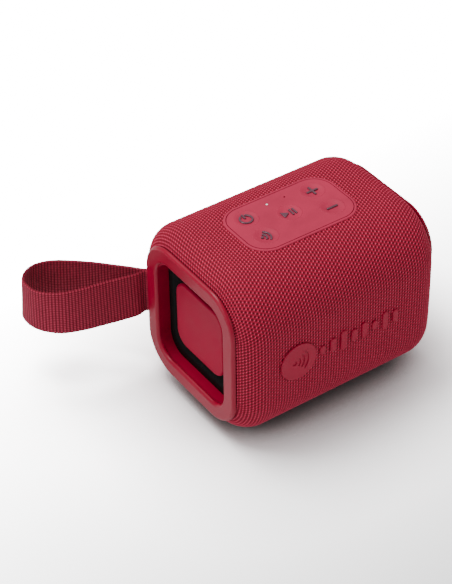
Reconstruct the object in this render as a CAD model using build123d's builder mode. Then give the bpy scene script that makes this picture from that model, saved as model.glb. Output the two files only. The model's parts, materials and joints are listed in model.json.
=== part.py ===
from build123d import *
from math import cos, radians, sin, sqrt, tan
import os

# Portable party speaker: a fabric-wrapped enclosure with a key panel on top, a passive radiator in
# each end, two front drivers and a webbing carry strap.
#
# Millimetres. +Z is up, +X runs along the body away from the strap, and the front faces -Y.
# The origin is the centre of the body's footprint, on the surface that the speaker stands on.

os.makedirs("parts", exist_ok=True)

# ---------------------------------------------------------------- driving dimensions

# Body, measured over the fabric
BODY_LENGTH = 115.0
BODY_DEPTH = 92.0
BODY_HEIGHT = 92.0
FOOT_HEIGHT = 1.5
SIDE_CROWN = 1.4
TOP_CROWN = 1.0
CORNER_RADIUS = 29.0
END_RADIUS = 13.0
MID_HEIGHT = FOOT_HEIGHT + BODY_HEIGHT / 2

# Skins
FABRIC = 1.15
SHELL_INSET = 1.2
SHELL_WALL = 2.4
CAVITY_INSET = SHELL_INSET + SHELL_WALL
GASKET = 0.8

# End frame and its recess: half sizes across Y and Z, from the body's centre line
RING_HALF = (36.6, 38.3)
RING_CORNER = 19.3
RING_BACK = BODY_LENGTH / 2
RING_FACE = RING_BACK + 1.8
RING_EDGE = 1.6
SLEEVE_HALF = (30.4, 32.2)
SLEEVE_CORNER = 5.0
OPENING_HALF = (27.9, 29.6)
OPENING_CORNER = 10.6
RECESS_FLOOR = 51.0
FIT_GAP = 0.2
FRAME_SCREW_AT = (27.0, 28.8)

# Passive radiator
CARRIER_HALF = (31.5, 33.4)
CARRIER_THICKNESS = 2.2
ROLL_OUTER = (24.8, 25.4)
ROLL_INNER = (19.8, 19.6)
ROLL_CORNER = 8.8
ROLL_DEPTH = 3.4
RUBBER = 0.8
PLATE_HALF = (19.6, 19.3)
PLATE_CORNER = 8.2
PLATE_FACE = RECESS_FLOOR + 2.3
PLATE_THICKNESS = 1.5
SKIRT_HALF = (18.8, 18.6)
SKIRT_CORNER = 7.6
SKIRT_WALL = 1.4
WEIGHT_RADIUS = 11.0
WEIGHT_THICKNESS = 5.0

# Key panel
PANEL = (62.6, 38.0)
PANEL_CORNER = 12.0
PANEL_TOP = 94.0
PANEL_RIM = 1.2
PANEL_SEAT = 91.9
OVERLAY = 1.1
POCKET_FLOOR = 91.5
WELL_BODY = (54.0, 29.0)
WELL_BODY_CORNER = 9.0
BOARD_TOP = 88.9
BOARD_THICKNESS = 1.6
KEY_RADIUS = 6.0
KEY_GAP = 0.35
KEY_TOP = PANEL_TOP - 0.25
KEY_BASE = 92.2
KEY_TRAVEL = 0.5
PLUNGER_RADIUS = 1.8
PLUNGER_END = 90.1
DOME = 0.4
GLYPH_RISE = 0.25
KEY_PLACES = {
    "key_power": (-19.5, 8.6),
    "key_pairing": (-19.5, -7.4),
    "key_play": (0.0, 0.8),
    "key_volume_up": (19.3, 8.6),
    "key_volume_down": (19.3, -7.4),
}
LED_PLACE = (-5.0, 12.0)
MIC_PLACE = (5.3, 12.0)
KEY_SCREW_PLACES = [(-24.0, 0.6), (-10.0, -11.5), (10.0, -11.5), (24.0, 0.6)]

# Front trim
TRIM_FACE = -(BODY_DEPTH / 2 + 0.9)
BADGE_PLACE = (-28.7, 48.4)
BADGE_RADIUS = 10.2
BAR_PITCH = 6.2
BAR_WIDTH = 3.4
BAR_START = -14.6
BAR_HEIGHTS = [5.0, 8.0, 11.5, 7.0, 9.5, 5.5, 10.5, 7.5]

# Drivers
DRIVER_X = 25.0
DRIVER_SEAT = -41.0
DRIVER_RADIUS = 24.0
CONE_RADIUS = 18.0
COIL_RADIUS = 10.0
MAGNET_RADIUS = 15.5
MAGNET_FRONT = -29.0
MAGNET_BACK = -17.0

# Charging port in the rear
PORT_Z = 25.2
PORT_FACE = 46.2
PORT_POCKET = (21.2, 8.8)
PORT_BORDER = 2.0
POCKET_BACK = 39.2
FLAP_HALF_WIDTH = 10.2
FLAP_BOTTOM = PORT_Z - 4.1
FLAP_AXIS = (44.9, PORT_Z + 2.7)
FLAP_BARREL = 1.0
FLAP_THICKNESS = 1.6

# Strap
WEBBING_WIDTH = 25.4
WEBBING = 1.3
STRAP_ANGLE = 149.0
MOUTH_DISTANCE = END_RADIUS + 0.5
STRAP_PIN_RADIUS = 1.0
STRAP_PIN_DEPTH = 5.1
CUP_WIDTH = 6.8
CUP_HEIGHT = 31.0
CUP_DEPTH = 8.5
CUP_WALL = 1.0
STRAP_ROUTE = [(-99.0, 46.6), (-110.6, 56.5), (-109.8, 71.0), (-100.0, 77.8), (-88.5, 73.2)]
MOUTH_GAP = 0.6

# Fastenings
CASE_SCREW_PLACES = [(x, z) for x in (-42.0, 42.0) for z in (11.0, 84.0)]
CASE_BOSS = 3.6
BOARD_SCREW_PLACES = [(x, z) for x in (-34.0, 34.0) for z in (37.0, 75.0)]
DRIVER_SCREW_RADIUS = 22.4

# ---------------------------------------------------------------- shared planes and outlines

SECTION = Plane(origin=(0, 0, MID_HEIGHT), x_dir=(0, 1, 0), z_dir=(1, 0, 0))
FRONT = Plane(origin=(0, 0, 0), x_dir=(1, 0, 0), z_dir=(0, -1, 0))


def body_form(inset):
    """Crowned, round-cornered body, drawn that far inside the fabric's face."""
    side = BODY_DEPTH / 2 - inset
    top = BODY_HEIGHT / 2 - inset
    corner_y = side - SIDE_CROWN
    corner_z = top - TOP_CROWN
    with BuildPart() as form:
        with BuildSketch(SECTION):
            with BuildLine():
                ThreePointArc((-corner_y, corner_z), (0, top), (corner_y, corner_z))
                ThreePointArc((corner_y, corner_z), (side, 0), (corner_y, -corner_z))
                ThreePointArc((corner_y, -corner_z), (0, -top), (-corner_y, -corner_z))
                ThreePointArc((-corner_y, -corner_z), (-side, 0), (-corner_y, corner_z))
            outline = make_face()
            fillet(outline.vertices(), CORNER_RADIUS - inset)
        extrude(amount=BODY_LENGTH / 2 - inset, both=True)
        ends = form.edges().group_by(Axis.X)
        fillet(ends[0] + ends[-1], END_RADIUS - inset)
    return form.part


def end_outline(half, corner, x):
    """Round-cornered rectangle across the body at the given X."""
    with BuildSketch(SECTION.offset(x)) as outline:
        RectangleRounded(2 * half[0], 2 * half[1], corner)
    return outline.sketch


def top_outline(size, corner, z):
    """Round-cornered rectangle level with the key panel at the given Z."""
    with BuildSketch(Plane.XY.offset(z)) as outline:
        RectangleRounded(size[0], size[1], corner)
    return outline.sketch


def grown(half, margin):
    """Half sizes enlarged all round by a margin."""
    return (half[0] + margin, half[1] + margin)


def rear_outline(width, height, corner, y):
    """Round-cornered rectangle facing the rear, centred on the charging port."""
    plane = Plane(origin=(0, y, PORT_Z), x_dir=(-1, 0, 0), z_dir=(0, 1, 0))
    with BuildSketch(plane) as outline:
        RectangleRounded(width, height, corner)
    return outline.sketch


# Strap mouth: where the strap leaves the rear corner at the strap end
STRAP_OUT = (cos(radians(STRAP_ANGLE)), sin(radians(STRAP_ANGLE)))
CORNER_CENTRE = (-(BODY_LENGTH / 2 - END_RADIUS), BODY_DEPTH / 2 - END_RADIUS)
MOUTH = (
    CORNER_CENTRE[0] + MOUTH_DISTANCE * STRAP_OUT[0],
    CORNER_CENTRE[1] + MOUTH_DISTANCE * STRAP_OUT[1],
)
MOUTH_PLANE = Plane(
    origin=(MOUTH[0], MOUTH[1], MID_HEIGHT),
    x_dir=(-STRAP_OUT[1], STRAP_OUT[0], 0),
    z_dir=(STRAP_OUT[0], STRAP_OUT[1], 0),
)
# Plan view at mid-height, with local X pointing out of the mouth
MOUTH_PLAN = Plane(
    origin=(MOUTH[0], MOUTH[1], MID_HEIGHT),
    x_dir=(STRAP_OUT[0], STRAP_OUT[1], 0),
    z_dir=(0, 0, 1),
)

fabric_face = body_form(0)
fabric_back = body_form(FABRIC)
shell_face = body_form(SHELL_INSET)
cavity = body_form(CAVITY_INSET)

# ---------------------------------------------------------------- front trim

with BuildPart() as badge_disc:
    with BuildSketch(FRONT.offset(BODY_DEPTH / 2 - SHELL_INSET)):
        with Locations(BADGE_PLACE):
            Circle(BADGE_RADIUS)
    extrude(amount=-TRIM_FACE - BODY_DEPTH / 2 + SHELL_INSET)
    rim = badge_disc.edges().filter_by(GeomType.CIRCLE).sort_by(Axis.Y)[0]
    fillet(rim, 0.5)
    # Three sound arcs and a centre dot, sunk in the face
    with BuildSketch(FRONT.offset(-TRIM_FACE)):
        with Locations(BADGE_PLACE):
            Circle(1.5)
            for radius in (3.6, 5.9, 8.2):
                SlotArc(CenterArc((0, 0), radius, -40, 80), height=1.0)
    extrude(amount=-0.4, mode=Mode.SUBTRACT)
badge_disc.part.label = "badge_disc"
export_step(badge_disc.part, "parts/badge_disc.step")

with BuildPart() as level_bars:
    with BuildSketch(FRONT.offset(BODY_DEPTH / 2 - SHELL_INSET)):
        for index, height in enumerate(BAR_HEIGHTS):
            with Locations((BAR_START + index * BAR_PITCH, BADGE_PLACE[1])):
                SlotOverall(height, BAR_WIDTH, rotation=90)
    extrude(amount=-TRIM_FACE - BODY_DEPTH / 2 + SHELL_INSET)
    fillet(level_bars.faces().group_by(Axis.Y)[0].edges(), 0.5)
level_bars.part.label = "level_bars"
export_step(level_bars.part, "parts/level_bars.step")

# ---------------------------------------------------------------- skins

foot_size = (76.0, 34.0)
foot_corner = 13.0

with BuildPart() as fabric_sleeve:
    add(fabric_face)
    add(fabric_back, mode=Mode.SUBTRACT)
    for side in (-1, 1):
        hem = grown(SLEEVE_HALF, 1.0)
        extrude(
            end_outline(hem, SLEEVE_CORNER + 1.0, side * RECESS_FLOOR),
            amount=side * BODY_LENGTH,
            mode=Mode.SUBTRACT,
        )
    panel_cut = (PANEL[0] + 2 * FIT_GAP, PANEL[1] + 2 * FIT_GAP)
    extrude(
        top_outline(panel_cut, PANEL_CORNER + FIT_GAP, POCKET_FLOOR),
        amount=10,
        mode=Mode.SUBTRACT,
    )
    port_cut = (PORT_POCKET[0] + 2 * PORT_BORDER, PORT_POCKET[1] + 2 * PORT_BORDER)
    extrude(rear_outline(port_cut[0], port_cut[1], 4.0, POCKET_BACK), amount=10, mode=Mode.SUBTRACT)
    with BuildSketch(MOUTH_PLANE.offset(-CUP_DEPTH)):
        Rectangle(CUP_WIDTH, CUP_HEIGHT)
    extrude(amount=CUP_DEPTH + 2, mode=Mode.SUBTRACT)
    with BuildSketch(Plane.XY):
        RectangleRounded(*foot_size, foot_corner)
    extrude(amount=CAVITY_INSET, mode=Mode.SUBTRACT)
    add(badge_disc.part, mode=Mode.SUBTRACT)
    add(level_bars.part, mode=Mode.SUBTRACT)
fabric_sleeve.part.label = "fabric_sleeve"
export_step(fabric_sleeve.part, "parts/fabric_sleeve.step")

with BuildPart() as foot_pad:
    with BuildSketch(Plane.XY):
        RectangleRounded(*foot_size, foot_corner)
    extrude(amount=CAVITY_INSET)
    add(shell_face, mode=Mode.SUBTRACT)
    fillet(foot_pad.faces().group_by(Axis.Z)[0].edges(), 0.4)
foot_pad.part.label = "foot_pad"
export_step(foot_pad.part, "parts/foot_pad.step")

# ---------------------------------------------------------------- enclosure shells

with BuildPart() as enclosure:
    add(shell_face)
    add(cavity, mode=Mode.SUBTRACT)
    for side in (-1, 1):
        extrude(
            end_outline(grown(SLEEVE_HALF, FIT_GAP), SLEEVE_CORNER + FIT_GAP, side * 45),
            amount=side * BODY_LENGTH,
            mode=Mode.SUBTRACT,
        )

with BuildPart() as front_shell:
    add(enclosure.part)
    # Seats for the drivers
    with BuildSketch(FRONT.offset(-DRIVER_SEAT)):
        with Locations((-DRIVER_X, MID_HEIGHT), (DRIVER_X, MID_HEIGHT)):
            Circle(DRIVER_RADIUS + 0.6)
            Circle(CONE_RADIUS + 1.6, mode=Mode.SUBTRACT)
    extrude(amount=2.4)
    # Screw bosses along the joint
    with BuildSketch(FRONT.offset(GASKET / 2)):
        with Locations(*CASE_SCREW_PLACES):
            Circle(CASE_BOSS)
    extrude(amount=12)
    with BuildSketch(FRONT.offset(GASKET / 2)):
        for x, z in CASE_SCREW_PLACES:
            wall_z = MID_HEIGHT + (BODY_HEIGHT / 2 - SHELL_INSET - 1) * (1 if z > MID_HEIGHT else -1)
            with Locations((x, (z + wall_z) / 2)):
                Rectangle(2.0, abs(z - wall_z))
    extrude(amount=12)
    add(shell_face, mode=Mode.INTERSECT)
    split(bisect_by=Plane.XZ.offset(GASKET / 2), keep=Keep.TOP)
    with BuildSketch(FRONT.offset(GASKET / 2)):
        with Locations(*CASE_SCREW_PLACES):
            Circle(1.0)
    extrude(amount=10.5, mode=Mode.SUBTRACT)
    # Sound slots in front of each driver
    with BuildSketch(FRONT.offset(BODY_DEPTH / 2 - CAVITY_INSET - 3)):
        for centre in (-DRIVER_X, DRIVER_X):
            for drop in (-14, -8.4, -2.8, 2.8, 8.4, 14):
                with Locations((centre, MID_HEIGHT + drop)):
                    SlotOverall(2 * sqrt(CONE_RADIUS**2 - drop**2), 3.4)
    extrude(amount=8, mode=Mode.SUBTRACT)
    # Driver screw pilots
    with BuildSketch(FRONT.offset(-DRIVER_SEAT)):
        for centre in (-DRIVER_X, DRIVER_X):
            with Locations((centre, MID_HEIGHT)):
                with PolarLocations(DRIVER_SCREW_RADIUS, 4, start_angle=45):
                    Circle(0.8)
    extrude(amount=1.6, mode=Mode.SUBTRACT)
    # Panel pocket, and its hole for the key board
    extrude(
        top_outline(panel_cut, PANEL_CORNER + FIT_GAP, POCKET_FLOOR),
        amount=10,
        mode=Mode.SUBTRACT,
    )
    well_cut = (WELL_BODY[0] + 2 * FIT_GAP, WELL_BODY[1] + 2 * FIT_GAP)
    extrude(top_outline(well_cut, WELL_BODY_CORNER + FIT_GAP, 85), amount=10, mode=Mode.SUBTRACT)
front_shell.part.label = "front_shell"
export_step(front_shell.part, "parts/front_shell.step")

with BuildPart() as rear_shell:
    add(enclosure.part)
    # Long screw bosses that run to the rear wall
    with BuildSketch(FRONT.offset(-GASKET / 2)):
        with Locations(*CASE_SCREW_PLACES):
            Circle(CASE_BOSS)
    extrude(amount=-BODY_DEPTH / 2)
    with BuildSketch(FRONT.offset(-GASKET / 2)):
        for x, z in CASE_SCREW_PLACES:
            wall_z = MID_HEIGHT + (BODY_HEIGHT / 2 - SHELL_INSET - 1) * (1 if z > MID_HEIGHT else -1)
            with Locations((x, (z + wall_z) / 2)):
                Rectangle(2.0, abs(z - wall_z))
    extrude(amount=-12)
    # Posts for the main board
    with BuildSketch(FRONT.offset(-34.6)):
        with Locations(*BOARD_SCREW_PLACES):
            Circle(2.6)
    extrude(amount=-10)
    add(shell_face, mode=Mode.INTERSECT)
    split(bisect_by=Plane.XZ.offset(-GASKET / 2), keep=Keep.BOTTOM)
    # Screw shafts and their deep head wells
    with BuildSketch(FRONT.offset(-GASKET / 2)):
        with Locations(*CASE_SCREW_PLACES):
            Circle(1.35)
    extrude(amount=-10, mode=Mode.SUBTRACT)
    with BuildSketch(FRONT.offset(-8)):
        with Locations(*CASE_SCREW_PLACES):
            Circle(2.6)
    extrude(amount=-40, mode=Mode.SUBTRACT)
    with BuildSketch(FRONT.offset(-34.6)):
        with Locations(*BOARD_SCREW_PLACES):
            Circle(0.8)
    extrude(amount=-4.5, mode=Mode.SUBTRACT)
    # Windows for the port bezel and the strap cup
    extrude(rear_outline(port_cut[0], port_cut[1], 4.0, 30), amount=20, mode=Mode.SUBTRACT)
    with BuildSketch(MOUTH_PLANE.offset(-CUP_DEPTH)):
        Rectangle(CUP_WIDTH, CUP_HEIGHT)
    extrude(amount=CUP_DEPTH + 2, mode=Mode.SUBTRACT)
    extrude(
        top_outline(panel_cut, PANEL_CORNER + FIT_GAP, POCKET_FLOOR),
        amount=10,
        mode=Mode.SUBTRACT,
    )
    extrude(top_outline(well_cut, WELL_BODY_CORNER + FIT_GAP, 85), amount=10, mode=Mode.SUBTRACT)
rear_shell.part.label = "rear_shell"
export_step(rear_shell.part, "parts/rear_shell.step")

with BuildPart() as shell_gasket:
    add(enclosure.part)
    split(bisect_by=Plane.XZ.offset(-GASKET / 2), keep=Keep.TOP)
    split(bisect_by=Plane.XZ.offset(GASKET / 2), keep=Keep.BOTTOM)
    extrude(
        top_outline(panel_cut, PANEL_CORNER + FIT_GAP, 85),
        amount=20,
        mode=Mode.SUBTRACT,
    )
shell_gasket.part.label = "shell_gasket"
export_step(shell_gasket.part, "parts/shell_gasket.step")

# ---------------------------------------------------------------- end frames and radiators

with BuildPart() as end_frame:
    extrude(end_outline(RING_HALF, RING_CORNER, RING_BACK), amount=RING_FACE - RING_BACK)
    extrude(
        end_outline(SLEEVE_HALF, SLEEVE_CORNER, RECESS_FLOOR),
        amount=RING_BACK - RECESS_FLOOR,
    )
    extrude(
        end_outline(OPENING_HALF, OPENING_CORNER, RECESS_FLOOR),
        amount=RING_FACE - RECESS_FLOOR,
        mode=Mode.SUBTRACT,
    )
    face = end_frame.faces().sort_by(Axis.X)[-1]
    fillet(face.edges(), RING_EDGE)
    with BuildSketch(SECTION.offset(RECESS_FLOOR)):
        with GridLocations(2 * FRAME_SCREW_AT[0], 2 * FRAME_SCREW_AT[1], 2, 2):
            Circle(0.7)
    extrude(amount=4.5, mode=Mode.SUBTRACT)

# Carrier that clamps the rubber ring to the end frame
with BuildPart() as radiator_carrier:
    extrude(
        end_outline(CARRIER_HALF, 7.0, RECESS_FLOOR - CARRIER_THICKNESS),
        amount=CARRIER_THICKNESS,
    )
    extrude(
        end_outline(grown(ROLL_OUTER, 1.2), ROLL_CORNER + 1.2, RECESS_FLOOR - CARRIER_THICKNESS),
        amount=CARRIER_THICKNESS,
        mode=Mode.SUBTRACT,
    )
    with BuildSketch(SECTION.offset(RECESS_FLOOR)):
        with GridLocations(2 * FRAME_SCREW_AT[0], 2 * FRAME_SCREW_AT[1], 2, 2):
            Circle(1.05)
    extrude(amount=-CARRIER_THICKNESS, mode=Mode.SUBTRACT)

# Rubber ring: a flange on the carrier and an inward roll down to the plate's skirt
roll_front = RECESS_FLOOR + RUBBER
roll_back = roll_front - ROLL_DEPTH - RUBBER
with BuildPart() as radiator_surround:
    extrude(
        end_outline(grown(OPENING_HALF, -0.2), OPENING_CORNER - 0.2, RECESS_FLOOR),
        amount=RUBBER,
    )
    extrude(
        end_outline(grown(ROLL_OUTER, RUBBER), ROLL_CORNER + RUBBER, roll_back),
        amount=roll_front - roll_back,
    )
    extrude(
        end_outline(ROLL_OUTER, ROLL_CORNER, roll_back + RUBBER),
        amount=ROLL_DEPTH,
        mode=Mode.SUBTRACT,
    )
    extrude(end_outline(ROLL_INNER, ROLL_CORNER, roll_back), amount=ROLL_DEPTH)
    extrude(
        end_outline(grown(SKIRT_HALF, 0.15), SKIRT_CORNER + 0.15, roll_back),
        amount=roll_front - roll_back,
        mode=Mode.SUBTRACT,
    )

# Plate with a hidden skirt that the rubber ring holds
with BuildPart() as radiator_plate:
    extrude(
        end_outline(PLATE_HALF, PLATE_CORNER, PLATE_FACE - PLATE_THICKNESS),
        amount=PLATE_THICKNESS,
    )
    fillet(radiator_plate.faces().sort_by(Axis.X)[-1].edges(), 1.0)
    extrude(
        end_outline(SKIRT_HALF, SKIRT_CORNER, roll_back),
        amount=PLATE_FACE - PLATE_THICKNESS - roll_back,
    )
    skirt_inside = grown(SKIRT_HALF, -SKIRT_WALL)
    extrude(
        end_outline(skirt_inside, SKIRT_CORNER - SKIRT_WALL, roll_back),
        amount=PLATE_FACE - 2 * PLATE_THICKNESS - roll_back,
        mode=Mode.SUBTRACT,
    )

weight_front = PLATE_FACE - 2 * PLATE_THICKNESS
with BuildPart() as radiator_weight:
    with BuildSketch(SECTION.offset(weight_front)):
        Circle(WEIGHT_RADIUS)
    extrude(amount=-WEIGHT_THICKNESS)
    chamfer(radiator_weight.edges(), 0.4)

with BuildPart() as frame_screws:
    with BuildSketch(SECTION.offset(RECESS_FLOOR - CARRIER_THICKNESS)):
        with GridLocations(2 * FRAME_SCREW_AT[0], 2 * FRAME_SCREW_AT[1], 2, 2):
            Circle(1.7)
    extrude(amount=-1.3)
    with BuildSketch(SECTION.offset(RECESS_FLOOR - CARRIER_THICKNESS)):
        with GridLocations(2 * FRAME_SCREW_AT[0], 2 * FRAME_SCREW_AT[1], 2, 2):
            Circle(0.7)
    extrude(amount=CARRIER_THICKNESS + 4)
    mirror(about=Plane.YZ)
frame_screws.part.label = "frame_screws"
export_step(frame_screws.part, "parts/frame_screws.step")

end_pieces = {
    "end_frame": end_frame.part,
    "radiator_carrier": radiator_carrier.part,
    "radiator_surround": radiator_surround.part,
    "radiator_plate": radiator_plate.part,
    "radiator_weight": radiator_weight.part,
}
for name, piece in end_pieces.items():
    piece.label = f"right_{name}"
    export_step(piece, f"parts/right_{name}.step")
    twin = mirror(piece, about=Plane.YZ)
    twin.label = f"left_{name}"
    export_step(twin, f"parts/left_{name}.step")

# ---------------------------------------------------------------- key panel

key_points = list(KEY_PLACES.values())

with BuildPart() as panel_gasket:
    extrude(
        top_outline(PANEL, PANEL_CORNER, POCKET_FLOOR),
        amount=PANEL_SEAT - POCKET_FLOOR,
    )
    extrude(
        top_outline(well_cut, WELL_BODY_CORNER + FIT_GAP, POCKET_FLOOR),
        amount=PANEL_SEAT - POCKET_FLOOR,
        mode=Mode.SUBTRACT,
    )
    # The outer keys sink past the gasket's inner edge
    with BuildSketch(Plane.XY.offset(POCKET_FLOOR)):
        with Locations(*key_points):
            Circle(KEY_RADIUS + KEY_GAP)
    extrude(amount=PANEL_SEAT - POCKET_FLOOR, mode=Mode.SUBTRACT)
panel_gasket.part.label = "panel_gasket"
export_step(panel_gasket.part, "parts/panel_gasket.step")

with BuildPart() as panel_tray:
    extrude(top_outline(PANEL, PANEL_CORNER, PANEL_SEAT), amount=PANEL_TOP - PANEL_SEAT)
    fillet(panel_tray.faces().sort_by(Axis.Z)[-1].edges(), 0.5)
    overlay_size = (PANEL[0] - 2 * PANEL_RIM, PANEL[1] - 2 * PANEL_RIM)
    extrude(
        top_outline(overlay_size, PANEL_CORNER - PANEL_RIM, PANEL_TOP - OVERLAY),
        amount=OVERLAY,
        mode=Mode.SUBTRACT,
    )
    extrude(top_outline(WELL_BODY, WELL_BODY_CORNER, BOARD_TOP), amount=PANEL_SEAT - BOARD_TOP)
    # A well, a plunger hole and a dome pocket under each key
    for radius, low, high in (
        (KEY_RADIUS + KEY_GAP, KEY_BASE - KEY_TRAVEL - KEY_GAP, PANEL_TOP),
        (PLUNGER_RADIUS + KEY_GAP, BOARD_TOP, PANEL_TOP),
        (3.4, BOARD_TOP, BOARD_TOP + 0.9),
    ):
        with BuildSketch(Plane.XY.offset(low)):
            with Locations(*key_points):
                Circle(radius)
        extrude(amount=high - low, mode=Mode.SUBTRACT)
    with BuildSketch(Plane.XY.offset(BOARD_TOP)):
        with Locations(LED_PLACE, MIC_PLACE):
            Circle(1.1)
    extrude(amount=OVERLAY + 10, mode=Mode.SUBTRACT)
    with BuildSketch(Plane.XY.offset(BOARD_TOP)):
        with Locations(LED_PLACE, MIC_PLACE):
            Rectangle(4.0, 3.4)
    extrude(amount=1.2, mode=Mode.SUBTRACT)
    with BuildSketch(Plane.XY.offset(BOARD_TOP)):
        with Locations(*KEY_SCREW_PLACES):
            Circle(0.7)
    extrude(amount=2.2, mode=Mode.SUBTRACT)
panel_tray.part.label = "panel_tray"
export_step(panel_tray.part, "parts/panel_tray.step")

with BuildPart() as panel_overlay:
    overlay_fit = (overlay_size[0] - 0.3, overlay_size[1] - 0.3)
    extrude(
        top_outline(overlay_fit, PANEL_CORNER - PANEL_RIM - 0.15, PANEL_TOP - OVERLAY),
        amount=OVERLAY,
    )
    fillet(panel_overlay.faces().sort_by(Axis.Z)[-1].edges(), 0.3)
    with BuildSketch(Plane.XY.offset(PANEL_TOP)):
        with Locations(*key_points):
            Circle(KEY_RADIUS + KEY_GAP)
        with Locations(LED_PLACE):
            Circle(1.0)
        with Locations(MIC_PLACE):
            Circle(0.5)
    extrude(amount=-OVERLAY, mode=Mode.SUBTRACT)
panel_overlay.part.label = "panel_overlay"
export_step(panel_overlay.part, "parts/panel_overlay.step")


def glyph_outline(name):
    """Raised sign of one key, centred on the key and level with its face."""
    with BuildSketch(Plane.XY.offset(KEY_TOP - 0.3)) as glyph:
        with Locations(KEY_PLACES[name]):
            if name == "key_power":
                Circle(3.2)
                Circle(2.5, mode=Mode.SUBTRACT)
                with Locations((0, 2.9)):
                    Rectangle(2.2, 2.0, mode=Mode.SUBTRACT)
                with Locations((0, 2.0)):
                    SlotOverall(3.6, 0.8, rotation=90)
            elif name == "key_pairing":
                for reach in (1.6, 3.2):
                    SlotArc(CenterArc((-1.6, 0), reach, -50, 100), height=0.8)
                with Locations((-1.6, 0)):
                    Circle(0.7)
            elif name == "key_play":
                with Locations((-1.9, 0)):
                    Triangle(a=3.8, B=60, C=60, rotation=-90)
                with Locations((1.4, 0), (3.2, 0)):
                    SlotOverall(4.0, 0.9, rotation=90)
            else:
                SlotOverall(5.4, 0.9)
                if name == "key_volume_up":
                    SlotOverall(5.4, 0.9, rotation=90)
    return glyph.sketch


for name, place in KEY_PLACES.items():
    with BuildPart() as key:
        with BuildSketch(Plane.XY.offset(KEY_BASE)):
            with Locations(place):
                Circle(KEY_RADIUS)
        extrude(amount=KEY_TOP - KEY_BASE)
        # Shallow finger dish
        dish_radius = 60.0
        dish_depth = 0.25
        with Locations((place[0], place[1], KEY_TOP + dish_radius - dish_depth)):
            Sphere(dish_radius, mode=Mode.SUBTRACT)
        with BuildSketch(Plane.XY.offset(KEY_BASE)):
            with Locations(place):
                Circle(PLUNGER_RADIUS)
        extrude(amount=PLUNGER_END - KEY_BASE)
        extrude(glyph_outline(name), amount=0.3 + GLYPH_RISE)
    key.part.label = name
    export_step(key.part, f"parts/{name}.step")

with BuildPart() as status_light_pipe:
    with BuildSketch(Plane.XY.offset(BOARD_TOP + 0.8)):
        with Locations(LED_PLACE):
            Circle(0.9)
    extrude(amount=PANEL_TOP - BOARD_TOP - 0.8)
    fillet(status_light_pipe.faces().sort_by(Axis.Z)[-1].edges(), 0.25)
status_light_pipe.part.label = "status_light_pipe"
export_step(status_light_pipe.part, "parts/status_light_pipe.step")

with BuildPart() as status_led:
    with BuildSketch(Plane.XY.offset(BOARD_TOP)):
        with Locations(LED_PLACE):
            Rectangle(2.0, 1.25)
    extrude(amount=0.7)
status_led.part.label = "status_led"
export_step(status_led.part, "parts/status_led.step")

with BuildPart() as microphone:
    with BuildSketch(Plane.XY.offset(BOARD_TOP)):
        with Locations(MIC_PLACE):
            Rectangle(3.4, 2.6)
    extrude(amount=1.0)
    with BuildSketch(Plane.XY.offset(BOARD_TOP + 1.0)):
        with Locations(MIC_PLACE):
            Circle(0.4)
    extrude(amount=-0.4, mode=Mode.SUBTRACT)
microphone.part.label = "microphone"
export_step(microphone.part, "parts/microphone.step")

with BuildPart() as key_board:
    extrude(top_outline(WELL_BODY, WELL_BODY_CORNER, BOARD_TOP), amount=-BOARD_THICKNESS)
    with BuildSketch(Plane.XY.offset(BOARD_TOP)):
        with Locations(*KEY_SCREW_PLACES):
            Circle(1.0)
    extrude(amount=-BOARD_THICKNESS, mode=Mode.SUBTRACT)
key_board.part.label = "key_board"
export_step(key_board.part, "parts/key_board.step")

with BuildPart() as dome_switches:
    with BuildSketch(Plane.XY.offset(BOARD_TOP)):
        with Locations(*key_points):
            Circle(2.6)
    extrude(amount=DOME)
    fillet(dome_switches.faces().group_by(Axis.Z)[-1].edges(), 0.25)
dome_switches.part.label = "dome_switches"
export_step(dome_switches.part, "parts/dome_switches.step")

with BuildPart() as key_board_screws:
    with BuildSketch(Plane.XY.offset(BOARD_TOP - BOARD_THICKNESS)):
        with Locations(*KEY_SCREW_PLACES):
            Circle(1.6)
    extrude(amount=-1.2)
    with BuildSketch(Plane.XY.offset(BOARD_TOP - BOARD_THICKNESS)):
        with Locations(*KEY_SCREW_PLACES):
            Circle(0.7)
    extrude(amount=BOARD_THICKNESS + 2)
key_board_screws.part.label = "key_board_screws"
export_step(key_board_screws.part, "parts/key_board_screws.step")

# ---------------------------------------------------------------- drivers

# Each driver turns about its own axis, which points out of the front
DRIVER_AXIS = Axis((DRIVER_X, 0, MID_HEIGHT), (0, 1, 0))
DRIVER_SIDE = Plane(origin=(DRIVER_X, 0, MID_HEIGHT), x_dir=(1, 0, 0), z_dir=(0, 0, 1))
cone_front = DRIVER_SEAT + 0.6
cone_throat = DRIVER_SEAT + 7.0

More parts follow.
